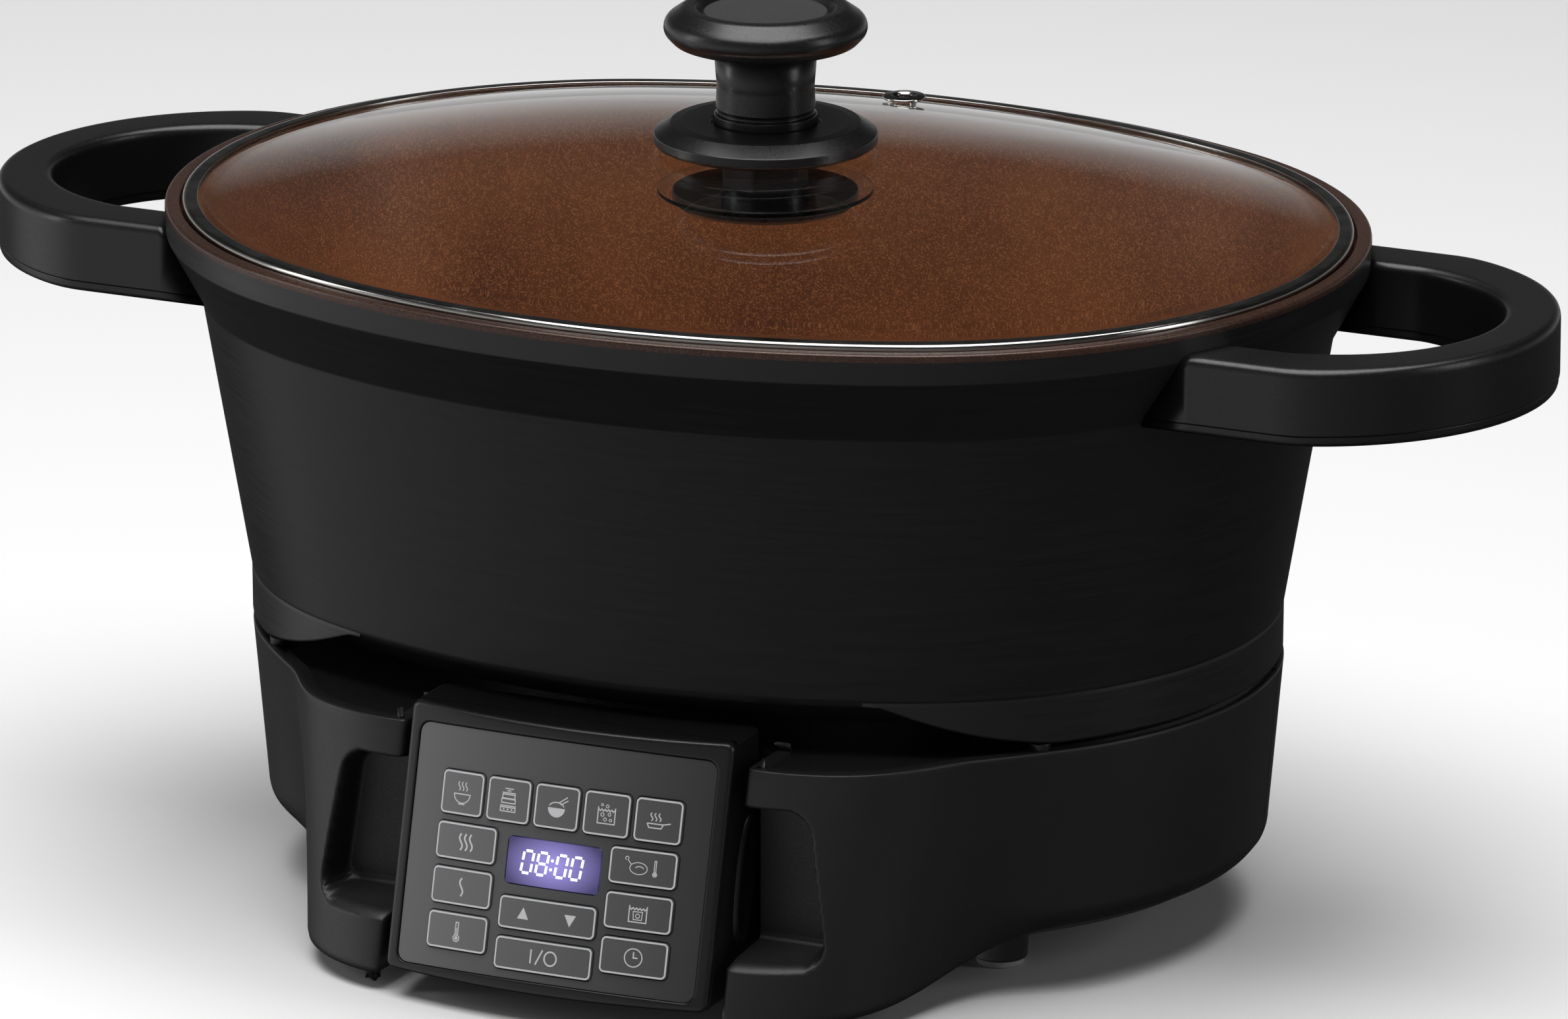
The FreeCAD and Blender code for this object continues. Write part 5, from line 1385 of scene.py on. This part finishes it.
points, faces = bowed_block(DISPLAY_SPOT[:2], DISPLAY_SPOT[2], DISPLAY_SPOT[3], 1.0,
                            [(0, SKIN_DEPTH + 2.4), (0, SKIN_DEPTH + 0.1), (0.12, SKIN_DEPTH - 0.02),
                             (0.8, SKIN_DEPTH - 0.02)], 16)
marks = [0] * len(faces)
extra, extra_faces = print_marks(strokes, fills, DISPLAY_SPOT[:2], SKIN_DEPTH - 0.06)
marks += [1] * len(extra_faces)
faces += [tuple(i + len(points) for i in face) for face in extra_faces]
new_piece("display_lens", list(points) + extra, faces, [glow, figure_white], "control_module",
          ["display_window"], marks, sharp=35)
print("display shows four figures")

# %% [markdown]
# ## Inner parts kept from the frame
#
# The heater, the boards and the screws already have their right shape, so they stay as they are and
# only get a finish: drawn steel, cast metal, brass, circuit green and moulded cream.

# %% Finishes for kept nodes
INNER = {
    "handle_brackets": pressed_steel, "handle_screws": zinc, "knob_screw": zinc, "deck_posts": floor_black,
    "base_screws": zinc, "heating_plate": cast_plate, "heating_element": sheath, "heat_pan": bright_pan,
    "plate_posts": pressed_steel,
    "sensor_cup": pressed_steel, "sensor_button": bright_pan, "sensor_spring": spring_wire,
    "thermal_fuse": fuse_body, "power_board": circuit,
    "terminal_block": cream, "power_inlet": inlet_black, "inlet_pins": pin_brass, "module_socket": cream,
    "display_block": cream,
    "control_board": circuit, "module_screws": zinc, "module_plug": cream}
for name, finish in INNER.items():
    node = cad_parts[name]
    node.data.materials.clear()
    node.data.materials.append(finish)
print("kept nodes:", len(INNER))

# %% [markdown]
# ## Table, light and camera
#
# The light is a product studio's: a pale table, one broad soft box straight above and a tall narrow
# one at each side. Black gloss shows what it mirrors, so the backdrop is shaded by height as well: a
# bright band level with the object, dark above, with a separate band behind for the glass. The table
# is left out of reflections. The camera looks slightly down from the front right, through a long lens.

# %% Stage and lights
floor_finish = new_finish("pale_table", (0.86, 0.86, 0.86), 0.7)
TABLE_HALF = 6000.0
table_lines = (-TABLE_HALF, -2000.0, 0.0, 2000.0, TABLE_HALF)
points, faces = join_rows([[(-TABLE_HALF, y, -0.1), (TABLE_HALF, y, -0.1)] for y in table_lines],
                          around=False)
table_mesh = bpy.data.meshes.new("pale_table")
table_mesh.from_pydata([Vector(p) * MM for p in points], [], faces)
table_mesh.materials.append(floor_finish)
table = bpy.data.objects.new("pale_table", table_mesh)
bpy.context.scene.collection.objects.link(table)
table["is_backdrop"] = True
table.visible_glossy = False

world = bpy.data.worlds.new("studio")
bpy.context.scene.world = world
world.use_nodes = True
backdrop = world.node_tree


def studio_node(kind, operation=None, *values):
    node = backdrop.nodes.new("ShaderNode" + kind)
    if operation:
        node.operation = operation
    for socket, value in zip(node.inputs, values):
        if isinstance(value, bpy.types.NodeSocket):
            backdrop.links.new(value, socket)
        else:
            socket.default_value = value
    return node


def brightness_by_height(height, stops):
    """Studio brightness by how many degrees above or below level one looks."""
    ramp = studio_node("ValToRGB", None, studio_node("Math", "MULTIPLY_ADD", height, 0.5, 0.5).outputs[0])
    while len(ramp.color_ramp.elements) < len(stops):
        ramp.color_ramp.elements.new(0.5)
    for stop, (turn, bright) in zip(ramp.color_ramp.elements, stops):
        stop.position = (math.sin(math.radians(turn)) + 1) / 2
        stop.color = (bright, bright, bright, 1)
    return ramp.outputs["Color"]


way = studio_node("SeparateXYZ", None, studio_node("TexCoord").outputs["Generated"])
across, ahead, height = way.outputs
FRONT = ((-74, 0.01), (-40, 0.08), (-26, 0.38), (-16, 0.85), (-3, 0.8), (12, 0.35), (40, 0.02))
REAR = ((-60, 0.02), (-24, 0.03), (-9.2, 0.04), (-8.2, 0.55), (-2, 0.40), (6, 0.17), (14, 0.02), (40, 0.01))
behind = studio_node("Math", "MULTIPLY_ADD", ahead, 2.5, 0.2)
behind.use_clamp = True
both = studio_node("MixRGB", None, behind.outputs[0], brightness_by_height(height, FRONT),
                   brightness_by_height(height, REAR))
# brighter from the left than from the right, as the large lamp stands on the left
lean_left = studio_node("Math", "MULTIPLY_ADD", across, -0.55, 0.62)
lift = studio_node("Math", "MULTIPLY_ADD", behind.outputs[0], 0.45, lean_left.outputs[0])
shaded = studio_node("VectorMath", "SCALE", both.outputs["Color"])
backdrop.links.new(lift.outputs[0], shaded.inputs["Scale"])
backdrop.links.new(shaded.outputs["Vector"], backdrop.nodes["Background"].inputs["Color"])


def soft_box(name, where, towards, wide, tall, power):
    light = bpy.data.lights.new(name, "AREA")
    light.shape, light.size, light.size_y, light.energy = "RECTANGLE", wide, tall, power
    lamp = bpy.data.objects.new(name, light)
    lamp.location = where
    lamp.rotation_euler = (Vector(towards) - Vector(where)).to_track_quat("-Z", "Y").to_euler()
    bpy.context.scene.collection.objects.link(lamp)
    return lamp


soft_box("top_box", (0, -0.2, 2.2), (0, -0.2, 0), 2.2, 2.2, 74)
soft_box("left_box", (-2.2, -0.9, 0.9), (0, 0, 0.12), 0.5, 1.4, 8)
soft_box("right_box", (2.4, 0.2, 0.9), (0, 0, 0.12), 0.5, 1.4, 8)
bpy.context.scene.view_settings.view_transform = "Standard"

# %% Camera
AZIMUTH, ELEVATION, DISTANCE = math.radians(25.27), math.radians(16.39), 4.0892
look_at = Vector((5.9, AXIS_Y, 113.5)) * MM
direction = Vector((math.sin(AZIMUTH), -math.cos(AZIMUTH), 0)) * math.cos(ELEVATION) + Vector((0, 0,
    math.sin(ELEVATION)))
camera_data = bpy.data.cameras.new("camera")
camera_data.lens, camera_data.sensor_width = 320.7, 36.0
camera = bpy.data.objects.new("camera", camera_data)
camera.location = look_at + direction * DISTANCE
camera.rotation_euler = (-direction).to_track_quat("-Z", "Y").to_euler()
bpy.context.scene.collection.objects.link(camera)
bpy.context.scene.camera = camera
print("camera at", [round(v, 2) for v in camera.location])

# %% Sizes and finish
low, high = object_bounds()
